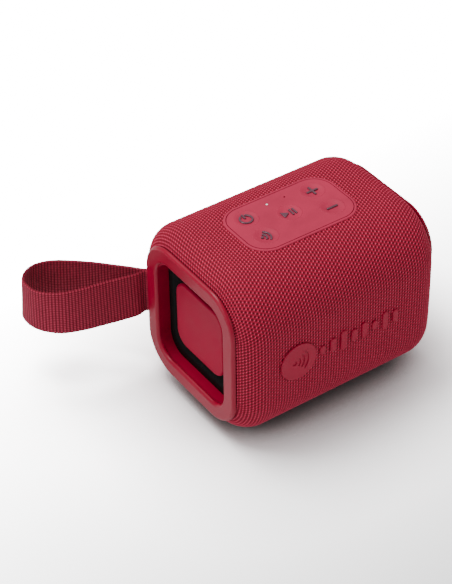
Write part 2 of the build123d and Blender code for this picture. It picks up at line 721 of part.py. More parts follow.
with BuildPart() as driver_basket:
    with BuildSketch(DRIVER_SIDE):
        with BuildLine():
            Polyline(
                (CONE_RADIUS + 1.6, DRIVER_SEAT),
                (DRIVER_RADIUS, DRIVER_SEAT),
                (DRIVER_RADIUS, DRIVER_SEAT + 1.2),
                (CONE_RADIUS + 3.0, DRIVER_SEAT + 1.2),
                (MAGNET_RADIUS - 0.5, MAGNET_FRONT - 1.2),
                (MAGNET_RADIUS - 0.5, MAGNET_FRONT),
                (COIL_RADIUS + 1.6, MAGNET_FRONT),
                (COIL_RADIUS + 1.6, MAGNET_FRONT - 1.2),
                (MAGNET_RADIUS - 1.8, MAGNET_FRONT - 1.2),
                (CONE_RADIUS + 1.6, DRIVER_SEAT + 1.2),
                close=True,
            )
        make_face()
    revolve(axis=DRIVER_AXIS)
    # Breathing windows in the tapered wall
    with BuildSketch(FRONT.offset(-DRIVER_SEAT - 2.6)):
        with Locations((DRIVER_X, MID_HEIGHT)):
            with PolarLocations(17.6, 4):
                Rectangle(7.5, 13.0)
    extrude(amount=-6.5, mode=Mode.SUBTRACT)
    with BuildSketch(FRONT.offset(-DRIVER_SEAT)):
        with Locations((DRIVER_X, MID_HEIGHT)):
            with PolarLocations(DRIVER_SCREW_RADIUS, 4, start_angle=45):
                Circle(1.0)
    extrude(amount=-1.2, mode=Mode.SUBTRACT)

with BuildPart() as driver_magnet:
    with BuildSketch(FRONT.offset(-MAGNET_FRONT)):
        with Locations((DRIVER_X, MID_HEIGHT)):
            Circle(MAGNET_RADIUS)
    extrude(amount=MAGNET_FRONT - MAGNET_BACK)
    chamfer(driver_magnet.edges(), 0.5)
    # Gap for the voice coil
    with BuildSketch(FRONT.offset(-MAGNET_FRONT)):
        with Locations((DRIVER_X, MID_HEIGHT)):
            Circle(COIL_RADIUS + 0.8)
            Circle(COIL_RADIUS - 0.8, mode=Mode.SUBTRACT)
    extrude(amount=-7.5, mode=Mode.SUBTRACT)

with BuildPart() as driver_cone:
    with BuildSketch(DRIVER_SIDE):
        with BuildLine():
            Polyline(
                (CONE_RADIUS, cone_front),
                (CONE_RADIUS, cone_front + 0.6),
                (COIL_RADIUS + 0.3, cone_throat + 0.6),
                (COIL_RADIUS + 0.3, MAGNET_FRONT + 4.5),
                (COIL_RADIUS - 0.3, MAGNET_FRONT + 4.5),
                (COIL_RADIUS - 0.3, cone_throat + 0.6),
                (0, cone_throat - 1.6),
                (0, cone_throat - 2.2),
                (COIL_RADIUS - 1.0, cone_throat - 0.4),
                (COIL_RADIUS, cone_throat),
                close=True,
            )
        make_face()
    revolve(axis=DRIVER_AXIS)

with BuildPart() as driver_surround:
    with BuildSketch(DRIVER_SIDE):
        with BuildLine():
            roll_centre = (CONE_RADIUS + 0.9, cone_front + 0.5)
            CenterArc(roll_centre, 0.6, 180, 180)
            CenterArc(roll_centre, 0.35, 180, 180)
            for side in (-1, 1):
                Line(
                    (roll_centre[0] + side * 0.6, roll_centre[1]),
                    (roll_centre[0] + side * 0.35, roll_centre[1]),
                )
        make_face()
    revolve(axis=DRIVER_AXIS)

with BuildPart() as driver_screws:
    for radius, reach in ((1.2, -1.0), (0.7, 2.4)):
        with BuildSketch(FRONT.offset(-DRIVER_SEAT - 1.2)):
            with Locations((DRIVER_X, MID_HEIGHT)):
                with PolarLocations(DRIVER_SCREW_RADIUS, 4, start_angle=45):
                    Circle(radius)
        extrude(amount=reach)
    mirror(about=Plane.YZ)
driver_screws.part.label = "driver_screws"
export_step(driver_screws.part, "parts/driver_screws.step")

driver_pieces = {
    "driver_basket": driver_basket.part,
    "driver_magnet": driver_magnet.part,
    "driver_cone": driver_cone.part,
    "driver_surround": driver_surround.part,
}
for name, piece in driver_pieces.items():
    piece.label = f"right_{name}"
    export_step(piece, f"parts/right_{name}.step")
    twin = mirror(piece, about=Plane.YZ)
    twin.label = f"left_{name}"
    export_step(twin, f"parts/left_{name}.step")

# ---------------------------------------------------------------- power and electronics

CELL_RADIUS = 9.2
CELL_HALF_LENGTH = 32.5
CELL_PLACES = [(-2.0, 17.2), (18.0, 17.2)]
CROSS_AT_FLOOR = Plane(origin=(0, 0, 0), x_dir=(0, 1, 0), z_dir=(1, 0, 0))

with BuildPart() as battery_cells:
    with BuildSketch(CROSS_AT_FLOOR):
        with Locations(*CELL_PLACES):
            Circle(CELL_RADIUS)
    extrude(amount=CELL_HALF_LENGTH, both=True)
    fillet(battery_cells.edges().filter_by(GeomType.CIRCLE), 0.8)
battery_cells.part.label = "battery_cells"
export_step(battery_cells.part, "parts/battery_cells.step")

with BuildPart() as battery_cradle:
    with BuildSketch(CROSS_AT_FLOOR):
        with Locations((6.0, 10.2)):
            RectangleRounded(35.0, 7.4, 1.0)
        with Locations(*CELL_PLACES):
            Circle(CELL_RADIUS + 0.1, mode=Mode.SUBTRACT)
    extrude(amount=CELL_HALF_LENGTH + 1.5, both=True)
battery_cradle.part.label = "battery_cradle"
export_step(battery_cradle.part, "parts/battery_cradle.step")

BOARD_FRONT = 33.0
with BuildPart() as main_board:
    with BuildSketch(FRONT.offset(-BOARD_FRONT)):
        with Locations((0, 56.0)):
            RectangleRounded(76.0, 48.0, 2.0)
        with Locations(*BOARD_SCREW_PLACES):
            Circle(1.1, mode=Mode.SUBTRACT)
    extrude(amount=-1.6)
main_board.part.label = "main_board"
export_step(main_board.part, "parts/main_board.step")

with BuildPart() as power_chips:
    with BuildSketch(FRONT.offset(-BOARD_FRONT)):
        with Locations((-16.0, 46.0)):
            RectangleRounded(8.0, 8.0, 0.4)
        with Locations((-2.0, 46.0)):
            RectangleRounded(6.0, 6.0, 0.4)
        with Locations((14.0, 44.0), (24.0, 44.0)):
            Circle(3.2)
    extrude(amount=3.0)
power_chips.part.label = "power_chips"
export_step(power_chips.part, "parts/power_chips.step")

with BuildPart() as wireless_module:
    with BuildSketch(FRONT.offset(-BOARD_FRONT)):
        with Locations((-22.0, 68.0)):
            RectangleRounded(16.0, 12.0, 0.5)
    extrude(amount=1.8)
    fillet(wireless_module.faces().sort_by(Axis.Y)[0].edges(), 0.3)
wireless_module.part.label = "wireless_module"
export_step(wireless_module.part, "parts/wireless_module.step")

with BuildPart() as main_board_screws:
    for radius, reach in ((1.8, 1.3), (0.7, -5.2)):
        with BuildSketch(FRONT.offset(-BOARD_FRONT)):
            with Locations(*BOARD_SCREW_PLACES):
                Circle(radius)
        extrude(amount=reach)
main_board_screws.part.label = "main_board_screws"
export_step(main_board_screws.part, "parts/main_board_screws.step")

with BuildPart() as case_screws:
    for radius, depth, reach in ((2.3, 8.0, -1.9), (1.0, 8.0, 16.5)):
        with BuildSketch(FRONT.offset(-depth)):
            with Locations(*CASE_SCREW_PLACES):
                Circle(radius)
        extrude(amount=reach)
case_screws.part.label = "case_screws"
export_step(case_screws.part, "parts/case_screws.step")

# ---------------------------------------------------------------- charging port

SOCKET = (8.9, 3.2)
with BuildPart() as port_bezel:
    extrude(
        rear_outline(port_cut[0] - 0.2, port_cut[1] - 0.2, 3.9, POCKET_BACK - 1.0),
        amount=PORT_FACE - POCKET_BACK + 1.0,
    )
    fillet(port_bezel.faces().sort_by(Axis.Y)[-1].edges(), 0.6)
    extrude(
        rear_outline(PORT_POCKET[0], PORT_POCKET[1], 0.8, POCKET_BACK),
        amount=10,
        mode=Mode.SUBTRACT,
    )
    extrude(
        rear_outline(SOCKET[0] + 0.4, SOCKET[1] + 0.4, 1.7, POCKET_BACK - 2),
        amount=4,
        mode=Mode.SUBTRACT,
    )
    # Seats for the flap's pin
    with BuildSketch(CROSS_AT_FLOOR):
        with Locations(FLAP_AXIS):
            Circle(0.5)
    extrude(amount=PORT_POCKET[0] / 2 + 1.2, both=True, mode=Mode.SUBTRACT)
port_bezel.part.label = "port_bezel"
export_step(port_bezel.part, "parts/port_bezel.step")

flap_face = FLAP_AXIS[0] + 0.9
with BuildPart() as port_flap:
    with BuildSketch(CROSS_AT_FLOOR):
        with Locations(FLAP_AXIS):
            Circle(FLAP_BARREL)
        with Locations((flap_face - FLAP_THICKNESS / 2, (FLAP_BOTTOM + FLAP_AXIS[1]) / 2)):
            Rectangle(FLAP_THICKNESS, FLAP_AXIS[1] - FLAP_BOTTOM)
        with Locations(FLAP_AXIS):
            Circle(0.55, mode=Mode.SUBTRACT)
    extrude(amount=FLAP_HALF_WIDTH, both=True)
    # Finger notch in the free edge
    with BuildSketch(FRONT.offset(-flap_face)):
        with Locations((0, FLAP_BOTTOM)):
            SlotOverall(7.0, 1.6)
    extrude(amount=0.8, mode=Mode.SUBTRACT)
port_flap.part.label = "port_flap"
export_step(port_flap.part, "parts/port_flap.step")

with BuildPart() as port_flap_pin:
    with BuildSketch(CROSS_AT_FLOOR):
        with Locations(FLAP_AXIS):
            Circle(0.5)
    extrude(amount=PORT_POCKET[0] / 2 + 1.2, both=True)
port_flap_pin.part.label = "port_flap_pin"
export_step(port_flap_pin.part, "parts/port_flap_pin.step")

with BuildPart() as charge_socket:
    extrude(rear_outline(SOCKET[0], SOCKET[1], 1.5, POCKET_BACK - 7.5), amount=7.5)
    extrude(
        rear_outline(SOCKET[0] - 0.6, SOCKET[1] - 0.6, 1.2, POCKET_BACK - 6.5),
        amount=6.5,
        mode=Mode.SUBTRACT,
    )
    extrude(rear_outline(6.6, 0.7, 0.2, POCKET_BACK - 6.5), amount=5.5)
charge_socket.part.label = "charge_socket"
export_step(charge_socket.part, "parts/charge_socket.step")

with BuildPart() as charge_board:
    board_top = PORT_Z - SOCKET[1] / 2
    with BuildSketch(Plane.XY.offset(board_top)):
        with Locations((0, 33.2)):
            RectangleRounded(26.0, 9.6, 1.0)
    extrude(amount=-1.0)
charge_board.part.label = "charge_board"
export_step(charge_board.part, "parts/charge_board.step")

# ---------------------------------------------------------------- strap

with BuildPart() as strap_cup:
    with BuildSketch(MOUTH_PLANE):
        RectangleRounded(CUP_WIDTH - 0.1, CUP_HEIGHT - 0.1, 1.5)
    extrude(amount=-CUP_DEPTH)
    fillet(strap_cup.faces().sort_by(SortBy.DISTANCE, reverse=True)[0].edges(), 0.3)
    with BuildSketch(MOUTH_PLANE.offset(-CUP_DEPTH + CUP_WALL)):
        RectangleRounded(CUP_WIDTH - 2 * CUP_WALL, WEBBING_WIDTH + 1.6, 1.0)
    extrude(amount=CUP_DEPTH + 2, mode=Mode.SUBTRACT)
    with BuildSketch(MOUTH_PLAN.offset(-CUP_HEIGHT / 2 + 0.8)):
        with Locations((-STRAP_PIN_DEPTH, 0)):
            Circle(STRAP_PIN_RADIUS)
    extrude(amount=CUP_HEIGHT - 1.6, mode=Mode.SUBTRACT)
strap_cup.part.label = "strap_cup"
export_step(strap_cup.part, "parts/strap_cup.step")

with BuildPart() as strap_pin:
    with BuildSketch(MOUTH_PLAN.offset(-CUP_HEIGHT / 2 + 0.8)):
        with Locations((-STRAP_PIN_DEPTH, 0)):
            Circle(STRAP_PIN_RADIUS)
    extrude(amount=CUP_HEIGHT - 1.6)
strap_pin.part.label = "strap_pin"
export_step(strap_pin.part, "parts/strap_pin.step")

# Doubled end of the webbing, sewn round the pin
with BuildPart() as strap_tab:
    with BuildSketch(MOUTH_PLAN.offset(-WEBBING_WIDTH / 2)):
        with Locations((-STRAP_PIN_DEPTH, 0)):
            Circle(STRAP_PIN_RADIUS + WEBBING)
        with Locations((-(STRAP_PIN_DEPTH + MOUTH_GAP) / 2, 0)):
            Rectangle(STRAP_PIN_DEPTH - MOUTH_GAP, 2 * WEBBING)
        with Locations((-STRAP_PIN_DEPTH, 0)):
            Circle(STRAP_PIN_RADIUS + 0.02, mode=Mode.SUBTRACT)
    extrude(amount=WEBBING_WIDTH)
strap_tab.part.label = "strap_tab"
export_step(strap_tab.part, "parts/strap_tab.step")


def bend_radius(before, corner, after):
    """Largest arc that two neighbouring runs allow at the corner between them."""
    run_in = Vector(corner) - Vector(before)
    run_out = Vector(after) - Vector(corner)
    half_turn = radians(run_in.get_angle(run_out)) / 2
    return 0.45 * min(run_in.length, run_out.length) / tan(half_turn)


leg_offset = WEBBING / 2 + 0.05
leg_ends = [
    (MOUTH_PLAN * Location((MOUTH_GAP, side * leg_offset, 0))).position for side in (1, -1)
]
strap_points = [(leg_ends[0].X, leg_ends[0].Y), *STRAP_ROUTE, (leg_ends[1].X, leg_ends[1].Y)]
strap_radii = [
    bend_radius(strap_points[i - 1], strap_points[i], strap_points[i + 1])
    for i in range(1, len(strap_points) - 1)
]

# Carrying loop, on edge
with BuildPart() as strap_webbing:
    with BuildSketch(Plane.XY.offset(MID_HEIGHT - WEBBING_WIDTH / 2)):
        with BuildLine() as loop:
            FilletPolyline(*strap_points, radius=strap_radii)
        trace(line_width=WEBBING)
    extrude(amount=WEBBING_WIDTH)
strap_webbing.part.label = "strap_webbing"
export_step(strap_webbing.part, "parts/strap_webbing.step")
print("strap length mm", round(sum(edge.length for edge in loop.edges()), 1))
print("strap bend radii mm", [round(radius, 1) for radius in strap_radii])

# ---------------------------------------------------------------- leads

LEAD_RADIUS = 0.8


def lead(points):
    """Round insulated lead along straight runs joined by the largest arcs that fit."""
    radii = [
        bend_radius(points[i - 1], points[i], points[i + 1]) for i in range(1, len(points) - 1)
    ]
    with BuildPart() as wire:
        with BuildLine() as route:
            FilletPolyline(*points, radius=radii)
        with BuildSketch(Plane(origin=route.line @ 0, z_dir=route.line % 0)):
            Circle(LEAD_RADIUS)
        sweep()
    return wire.part


with BuildPart() as battery_lead:
    add(
        lead(
            [
                (32.6, 18.0, 19.0),
                (38.0, 18.5, 20.0),
                (41.0, 22.0, 28.0),
                (37.0, 27.0, 36.0),
                (29.0, 32.0, 42.0),
            ]
        )
    )
battery_lead.part.label = "battery_lead"
export_step(battery_lead.part, "parts/battery_lead.step")

with BuildPart() as driver_leads:
    for side, end in ((1, (19.0, 69.0)), (-1, (-8.0, 73.0))):
        add(
            lead(
                [
                    (side * DRIVER_X, -31.0, 68.0),
                    (side * (DRIVER_X - 1.0), -20.0, 72.0),
                    (side * (DRIVER_X - 4.0), -4.0, 75.5),
                    ((side * (DRIVER_X - 6.0) + end[0]) / 2, 14.0, 75.0),
                    (end[0], 31.9, end[1]),
                ]
            )
        )
driver_leads.part.label = "driver_leads"
export_step(driver_leads.part, "parts/driver_leads.step")

# Flat cable from the key board down to the main board
with BuildPart() as key_flat_cable:
    cable_points = [(10.0, 87.0), (20.0, 86.6), (29.0, 84.0), (31.6, 76.0)]
    cable_radii = [
        bend_radius(cable_points[i - 1], cable_points[i], cable_points[i + 1])
        for i in range(1, len(cable_points) - 1)
    ]
    with BuildSketch(CROSS_AT_FLOOR.offset(-4)):
        with BuildLine():
            FilletPolyline(*cable_points, radius=cable_radii)
        trace(line_width=0.3)
    extrude(amount=8)
key_flat_cable.part.label = "key_flat_cable"
export_step(key_flat_cable.part, "parts/key_flat_cable.step")
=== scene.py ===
import json
import logging
import math
from dataclasses import dataclass, field
from enum import Enum

import bmesh
import bpy
import numpy as np
from mathutils import Matrix, Vector


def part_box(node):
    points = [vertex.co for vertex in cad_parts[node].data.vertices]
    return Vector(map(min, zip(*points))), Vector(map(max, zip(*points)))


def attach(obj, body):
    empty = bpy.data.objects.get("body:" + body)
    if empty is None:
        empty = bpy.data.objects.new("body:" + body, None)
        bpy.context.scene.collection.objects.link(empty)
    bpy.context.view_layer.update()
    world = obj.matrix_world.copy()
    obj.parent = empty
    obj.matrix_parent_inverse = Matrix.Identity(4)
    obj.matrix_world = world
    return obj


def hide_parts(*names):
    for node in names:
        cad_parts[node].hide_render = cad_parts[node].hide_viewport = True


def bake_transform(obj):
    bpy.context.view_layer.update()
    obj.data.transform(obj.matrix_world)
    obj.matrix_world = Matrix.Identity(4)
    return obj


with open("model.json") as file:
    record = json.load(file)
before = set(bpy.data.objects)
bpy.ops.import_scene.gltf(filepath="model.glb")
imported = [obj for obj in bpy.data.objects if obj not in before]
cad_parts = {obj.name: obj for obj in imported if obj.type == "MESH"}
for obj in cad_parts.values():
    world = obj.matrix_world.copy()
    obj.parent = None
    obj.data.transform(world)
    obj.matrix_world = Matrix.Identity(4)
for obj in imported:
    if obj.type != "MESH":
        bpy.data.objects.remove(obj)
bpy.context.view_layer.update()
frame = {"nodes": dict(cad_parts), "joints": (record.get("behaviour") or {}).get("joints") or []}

log = logging.getLogger("party_speaker")
MM = 0.001
Colour = tuple[float, float, float]
Outline = list[tuple[float, float]]


# ------------------------------------------------------------------ small helpers


def linear(red: int, green: int, blue: int) -> Colour:
    """Turn a display colour of 0 to 255 into the linear values that shaders take.

    Args:
        red: red, 0 to 255.
        green: green, 0 to 255.
        blue: blue, 0 to 255.

    Returns:
        The linear colour.
    """
    parts = (red / 255, green / 255, blue / 255)
    return tuple(c / 12.92 if c <= 0.04045 else ((c + 0.055) / 1.055) ** 2.4 for c in parts)


def smoothstep(value: np.ndarray) -> np.ndarray:
    """Ease from 0 to 1 with flat ends."""
    t = np.clip(value, 0.0, 1.0)
    return t * t * (3.0 - 2.0 * t)


def new_object(name: str, mesh: bpy.types.Mesh) -> bpy.types.Object:
    """Put a mesh in the scene as an object at the origin."""
    obj = bpy.data.objects.new(name, mesh)
    bpy.context.scene.collection.objects.link(obj)
    return obj


def mesh_from_arrays(
    name: str,
    points: np.ndarray,
    corners: np.ndarray,
    totals: np.ndarray,
    attributes: dict[str, np.ndarray] | None = None,
) -> bpy.types.Mesh:
    """Build a smooth-shaded mesh from arrays.

    Args:
        name: the mesh's name.
        points: vertex places, N by 3, in metres.
        corners: vertex index of every face corner, face after face.
        totals: corner count of every face.
        attributes: float values for each vertex, by attribute name.

    Returns:
        The new mesh.
    """
    mesh = bpy.data.meshes.new(name)
    mesh.vertices.add(len(points))
    mesh.vertices.foreach_set("co", points.astype(np.float32).ravel())
    mesh.loops.add(len(corners))
    mesh.loops.foreach_set("vertex_index", corners.astype(np.int32))
    mesh.polygons.add(len(totals))
    starts = np.concatenate(([0], np.cumsum(totals)[:-1]))
    mesh.polygons.foreach_set("loop_start", starts.astype(np.int32))
    mesh.update(calc_edges=True)
    mesh.validate()
    mesh.polygons.foreach_set("use_smooth", [True] * len(mesh.polygons))
    for key, values in (attributes or {}).items():
        layer = mesh.attributes.new(key, "FLOAT", "POINT")
        layer.data.foreach_set("value", values.astype(np.float32))
    return mesh


def face_outward(mesh: bpy.types.Mesh) -> None:
    """Turn every face of a closed mesh to point outwards."""
    form = bmesh.new()
    form.from_mesh(mesh)
    bmesh.ops.recalc_face_normals(form, faces=form.faces)
    form.to_mesh(mesh)
    form.free()


def grid_faces(rows: int, columns: int, wrap: bool = False) -> tuple[np.ndarray, np.ndarray]:
    """Corner and total arrays for a grid of quads stored row after row.

    Args:
        rows: number of vertex rows.
        columns: number of vertices in each row.
        wrap: whether the last vertex of a row joins the first.

    Returns:
        The corner indices and the corner counts.
    """
    row = np.arange(rows - 1)[:, None]
    column = np.arange(columns if wrap else columns - 1)[None, :]
    after = (column + 1) % columns
    quads = np.stack(
        [
            row * columns + column,
            row * columns + after,
            (row + 1) * columns + after,
            (row + 1) * columns + column,
        ],
        axis=-1,
    ).reshape(-1, 4)
    return quads.ravel(), np.full(len(quads), 4)


def plate(
    name: str, outlines: list[Outline], top: float, thickness: float, bevel: float = 0.0
) -> bpy.types.Mesh:
    """Make a flat plate from closed outlines, the first outside and the rest as holes.

    Args:
        name: the mesh's name.
        outlines: closed outlines in millimetres, in plan.
        top: height of the plate's face, in millimetres.
        thickness: thickness in millimetres, bevels included.
        bevel: rounding of its edges, in millimetres.

    Returns:
        The plate's mesh, with its place applied.
    """
    curve = bpy.data.curves.new(name, "CURVE")
    curve.dimensions = "2D"
    curve.fill_mode = "BOTH"
    curve.extrude = (thickness / 2 - bevel) * MM
    curve.bevel_depth = bevel * MM
    curve.bevel_resolution = 2
    curve.offset = -bevel * MM
    for outline in outlines:
        spline = curve.splines.new("POLY")
        spline.points.add(len(outline) - 1)
        for point, (x, y) in zip(spline.points, outline):
            point.co = (x * MM, y * MM, 0, 1)
        spline.use_cyclic_u = True
    holder = new_object(name + "_outline", curve)
    bpy.context.view_layer.update()
    mesh = bpy.data.meshes.new_from_object(holder.evaluated_get(bpy.context.evaluated_depsgraph_get()))
    bpy.data.objects.remove(holder)
    mesh.transform(Matrix.Translation((0, 0, (top - thickness / 2) * MM)))
    mesh.name = name
    return mesh


def joined(name: str, meshes: list[bpy.types.Mesh]) -> bpy.types.Mesh:
    """Join several meshes into one.

    Args:
        name: the new mesh's name.
        meshes: the meshes to join, which are deleted.

    Returns:
        The joined mesh.
    """
    form = bmesh.new()
    for mesh in meshes:
        form.from_mesh(mesh)
        bpy.data.meshes.remove(mesh)
    whole = bpy.data.meshes.new(name)
    form.to_mesh(whole)
    form.free()
    return whole


def rounded_rectangle(half: tuple[float, float], radius: float, steps: int = 12) -> Outline:
    """Outline of a round-cornered rectangle about the origin.

    Args:
        half: half width and half height.
        radius: corner radius.
        steps: straight pieces in each corner.

    Returns:
        The outline's points, in order.
    """
    points = []
    for quarter in range(4):
        side_x = 1 if quarter in (0, 3) else -1
        side_y = 1 if quarter in (0, 1) else -1
        for step in range(steps + 1):
            angle = math.pi / 2 * (quarter + step / steps)
            points.append(
                (
                    side_x * (half[0] - radius) + radius * math.cos(angle),
                    side_y * (half[1] - radius) + radius * math.sin(angle),
                )
            )
    return points


def circle(centre: tuple[float, float], radius: float, steps: int = 64) -> Outline:
    """Outline of a circle.

    Args:
        centre: its centre.
        radius: its radius.
        steps: number of points.

    Returns:
        The outline's points, in order.
    """
    turns = [2 * math.pi * step / steps for step in range(steps)]
    return [(centre[0] + radius * math.cos(t), centre[1] + radius * math.sin(t)) for t in turns]


def arc_band(centre: tuple[float, float], radius: float, width: float, start: float, end: float) -> Outline:
    """Outline of an arc of constant width with round ends, between two angles in degrees.

    Args:
        centre: centre of the arc.
        radius: radius of its middle line.
        width: width of the band.
        start: angle where it starts.
        end: angle where it ends.

    Returns:
        The outline's points, in order.
    """
    outer, inner = radius + width / 2, radius - width / 2
    steps = 28
    angles = np.radians(np.linspace(start, end, steps))
    points = [(outer * math.cos(a), outer * math.sin(a)) for a in angles]
    for centre_angle, turn in ((angles[-1], 0.0), (angles[0], math.pi)):
        tip = (radius * math.cos(centre_angle), radius * math.sin(centre_angle))
        cap = np.linspace(centre_angle + turn, centre_angle + turn + math.pi, 8)[1:-1]
        points += [(tip[0] + width / 2 * math.cos(a), tip[1] + width / 2 * math.sin(a)) for a in cap]
        if turn == 0.0:
            points += [(inner * math.cos(a), inner * math.sin(a)) for a in angles[::-1]]
    return [(centre[0] + x, centre[1] + y) for x, y in points]


def stadium(centre: tuple[float, float], size: tuple[float, float]) -> Outline:
    """Outline of a round-ended bar about a centre.

    Args:
        centre: its centre.
        size: its width and height.

    Returns:
        The outline's points, in order.
    """
    half = (size[0] / 2, size[1] / 2)
    return [(centre[0] + x, centre[1] + y) for x, y in rounded_rectangle(half, min(half) * 0.999, 6)]


# ------------------------------------------------------------------ finishes


class Grain(Enum):
    """Kinds of fine surface texture."""

    SPARK = "spark-eroded mould texture"
    SOFT = "soft-touch rubber"
    FLOW = "smooth moulding with slow flow marks"
    BRUSHED = "drawn or plated metal"


GRAIN_SCALE = {Grain.SPARK: 5200.0, Grain.SOFT: 3000.0, Grain.FLOW: 420.0, Grain.BRUSHED: 2400.0}


@dataclass(frozen=True)
class Finish:
    """A moulded, rubber or metal finish with its own grain and colour drift."""

    name: str
    colour: Colour
    roughness: float
    grain: Grain = Grain.SPARK
    bump: float = 0.12
    drift: float = 0.12
    metallic: float = 0.0
    coat: float = 0.0
    sheen: float = 0.0
    specular: float = 0.5

    def build(self) -> bpy.types.Material:
        """Make the material's node tree.

        Returns:
            The finished material.
        """
        material = bpy.data.materials.new(self.name)
        material.use_nodes = True
        tree = material.node_tree
        shader = tree.nodes["Principled BSDF"]
        shader.inputs["Metallic"].default_value = self.metallic
        shader.inputs["Coat Weight"].default_value = self.coat
        shader.inputs["Sheen Weight"].default_value = self.sheen
        shader.inputs["Specular IOR Level"].default_value = self.specular
        place = tree.nodes.new("ShaderNodeTexCoord")
        drift = noise(tree, place, 90.0, 3.0)
        dark = tuple(c * (1 - self.drift) for c in self.colour)
        light = tuple(min(1.0, c * (1 + self.drift)) for c in self.colour)
        tint = ramp(tree, drift, [(0.3, dark), (0.7, light)])
        tree.links.new(tint.outputs["Color"], shader.inputs["Base Color"])
        gloss = tree.nodes.new("ShaderNodeMapRange")
        gloss.inputs["To Min"].default_value = max(0.02, self.roughness - 0.06)
        gloss.inputs["To Max"].default_value = min(1.0, self.roughness + 0.06)
        tree.links.new(drift.outputs["Fac"], gloss.inputs["Value"])
        tree.links.new(gloss.outputs["Result"], shader.inputs["Roughness"])
        grain = noise(tree, place, GRAIN_SCALE[self.grain], 2.0)
        bump = tree.nodes.new("ShaderNodeBump")
        bump.inputs["Strength"].default_value = self.bump
        bump.inputs["Distance"].default_value = 0.0002
        tree.links.new(grain.outputs["Fac"], bump.inputs["Height"])
        tree.links.new(bump.outputs["Normal"], shader.inputs["Normal"])
        return material


def noise(tree: bpy.types.NodeTree, place: bpy.types.Node, scale: float, detail: float) -> bpy.types.Node:
    """Add a noise texture on object coordinates.

    Args:
        tree: the material's node tree.
        place: texture coordinate node.
        scale: how fine the noise is.
        detail: number of octaves.

    Returns:
        The noise node.
    """
    node = tree.nodes.new("ShaderNodeTexNoise")
    node.inputs["Scale"].default_value = scale
    node.inputs["Detail"].default_value = detail
    tree.links.new(place.outputs["Object"], node.inputs["Vector"])
    return node


def ramp(
    tree: bpy.types.NodeTree, source: bpy.types.Node, stops: list[tuple[float, Colour]]
) -> bpy.types.Node:
    """Add a colour ramp driven by a texture or attribute.

    Args:
        tree: the material's node tree.
        source: node whose Fac output drives the ramp.
        stops: place and colour of each stop, in order.

    Returns:
        The ramp node.
    """
    node = tree.nodes.new("ShaderNodeValToRGB")
    elements = node.color_ramp.elements
    while len(elements) < len(stops):
        elements.new(0.5)
    for element, (place, colour) in zip(elements, stops):
        element.position = place
        element.color = (*colour, 1.0)
    tree.links.new(source.outputs["Fac"], node.inputs["Fac"])
    return node


@dataclass(frozen=True)
class ThreadFinish:
    """Yarn with painted shade where the surface sinks between threads and a painted highlight on its
    crests.
    """

    name: str
    attribute: str
    hollow_shade: Colour
    middle: Colour
    crest_highlight: Colour
    roughness: float = 0.7
    fibre_scale: float = 3600.0
    bump: float = 0.35

    def build(self) -> bpy.types.Material:
        """Make the material's node tree.

        Returns:
            The finished material.
        """
        material = bpy.data.materials.new(self.name)
        material.use_nodes = True
        tree = material.node_tree
        shader = tree.nodes["Principled BSDF"]
        shader.inputs["Roughness"].default_value = self.roughness
        shader.inputs["Sheen Weight"].default_value = 0.06
        shader.inputs["Sheen Roughness"].default_value = 0.4
        shader.inputs["Sheen Tint"].default_value = (1.0, 0.55, 0.62, 1.0)
        shader.inputs["Specular IOR Level"].default_value = 0.2
        height = tree.nodes.new("ShaderNodeAttribute")
        height.attribute_name = self.attribute
        # the ramp gives painted shade in the hollows, the yarn's own red in between and a painted highlight
        # on the crests
        thread = ramp(tree, height, [(0.0, self.hollow_shade), (0.45, self.middle), (1.0, self.crest_highlight)])
        place = tree.nodes.new("ShaderNodeTexCoord")
        drift = noise(tree, place, 700.0, 2.0)
        shade = ramp(tree, drift, [(0.25, (0.78, 0.78, 0.78)), (0.75, (1.0, 1.0, 1.0))])
        mix = tree.nodes.new("ShaderNodeMix")
        mix.data_type = "RGBA"
        mix.blend_type = "MULTIPLY"
        mix.inputs["Factor"].default_value = 1.0
        tree.links.new(thread.outputs["Color"], mix.inputs["A"])
        tree.links.new(shade.outputs["Color"], mix.inputs["B"])
        tree.links.new(mix.outputs["Result"], shader.inputs["Base Color"])
        fibre = noise(tree, place, self.fibre_scale, 3.0)
        bump = tree.nodes.new("ShaderNodeBump")
        bump.inputs["Strength"].default_value = self.bump
        bump.inputs["Distance"].default_value = 0.0002
        tree.links.new(fibre.outputs["Fac"], bump.inputs["Height"])
        tree.links.new(bump.outputs["Normal"], shader.inputs["Normal"])
        return material


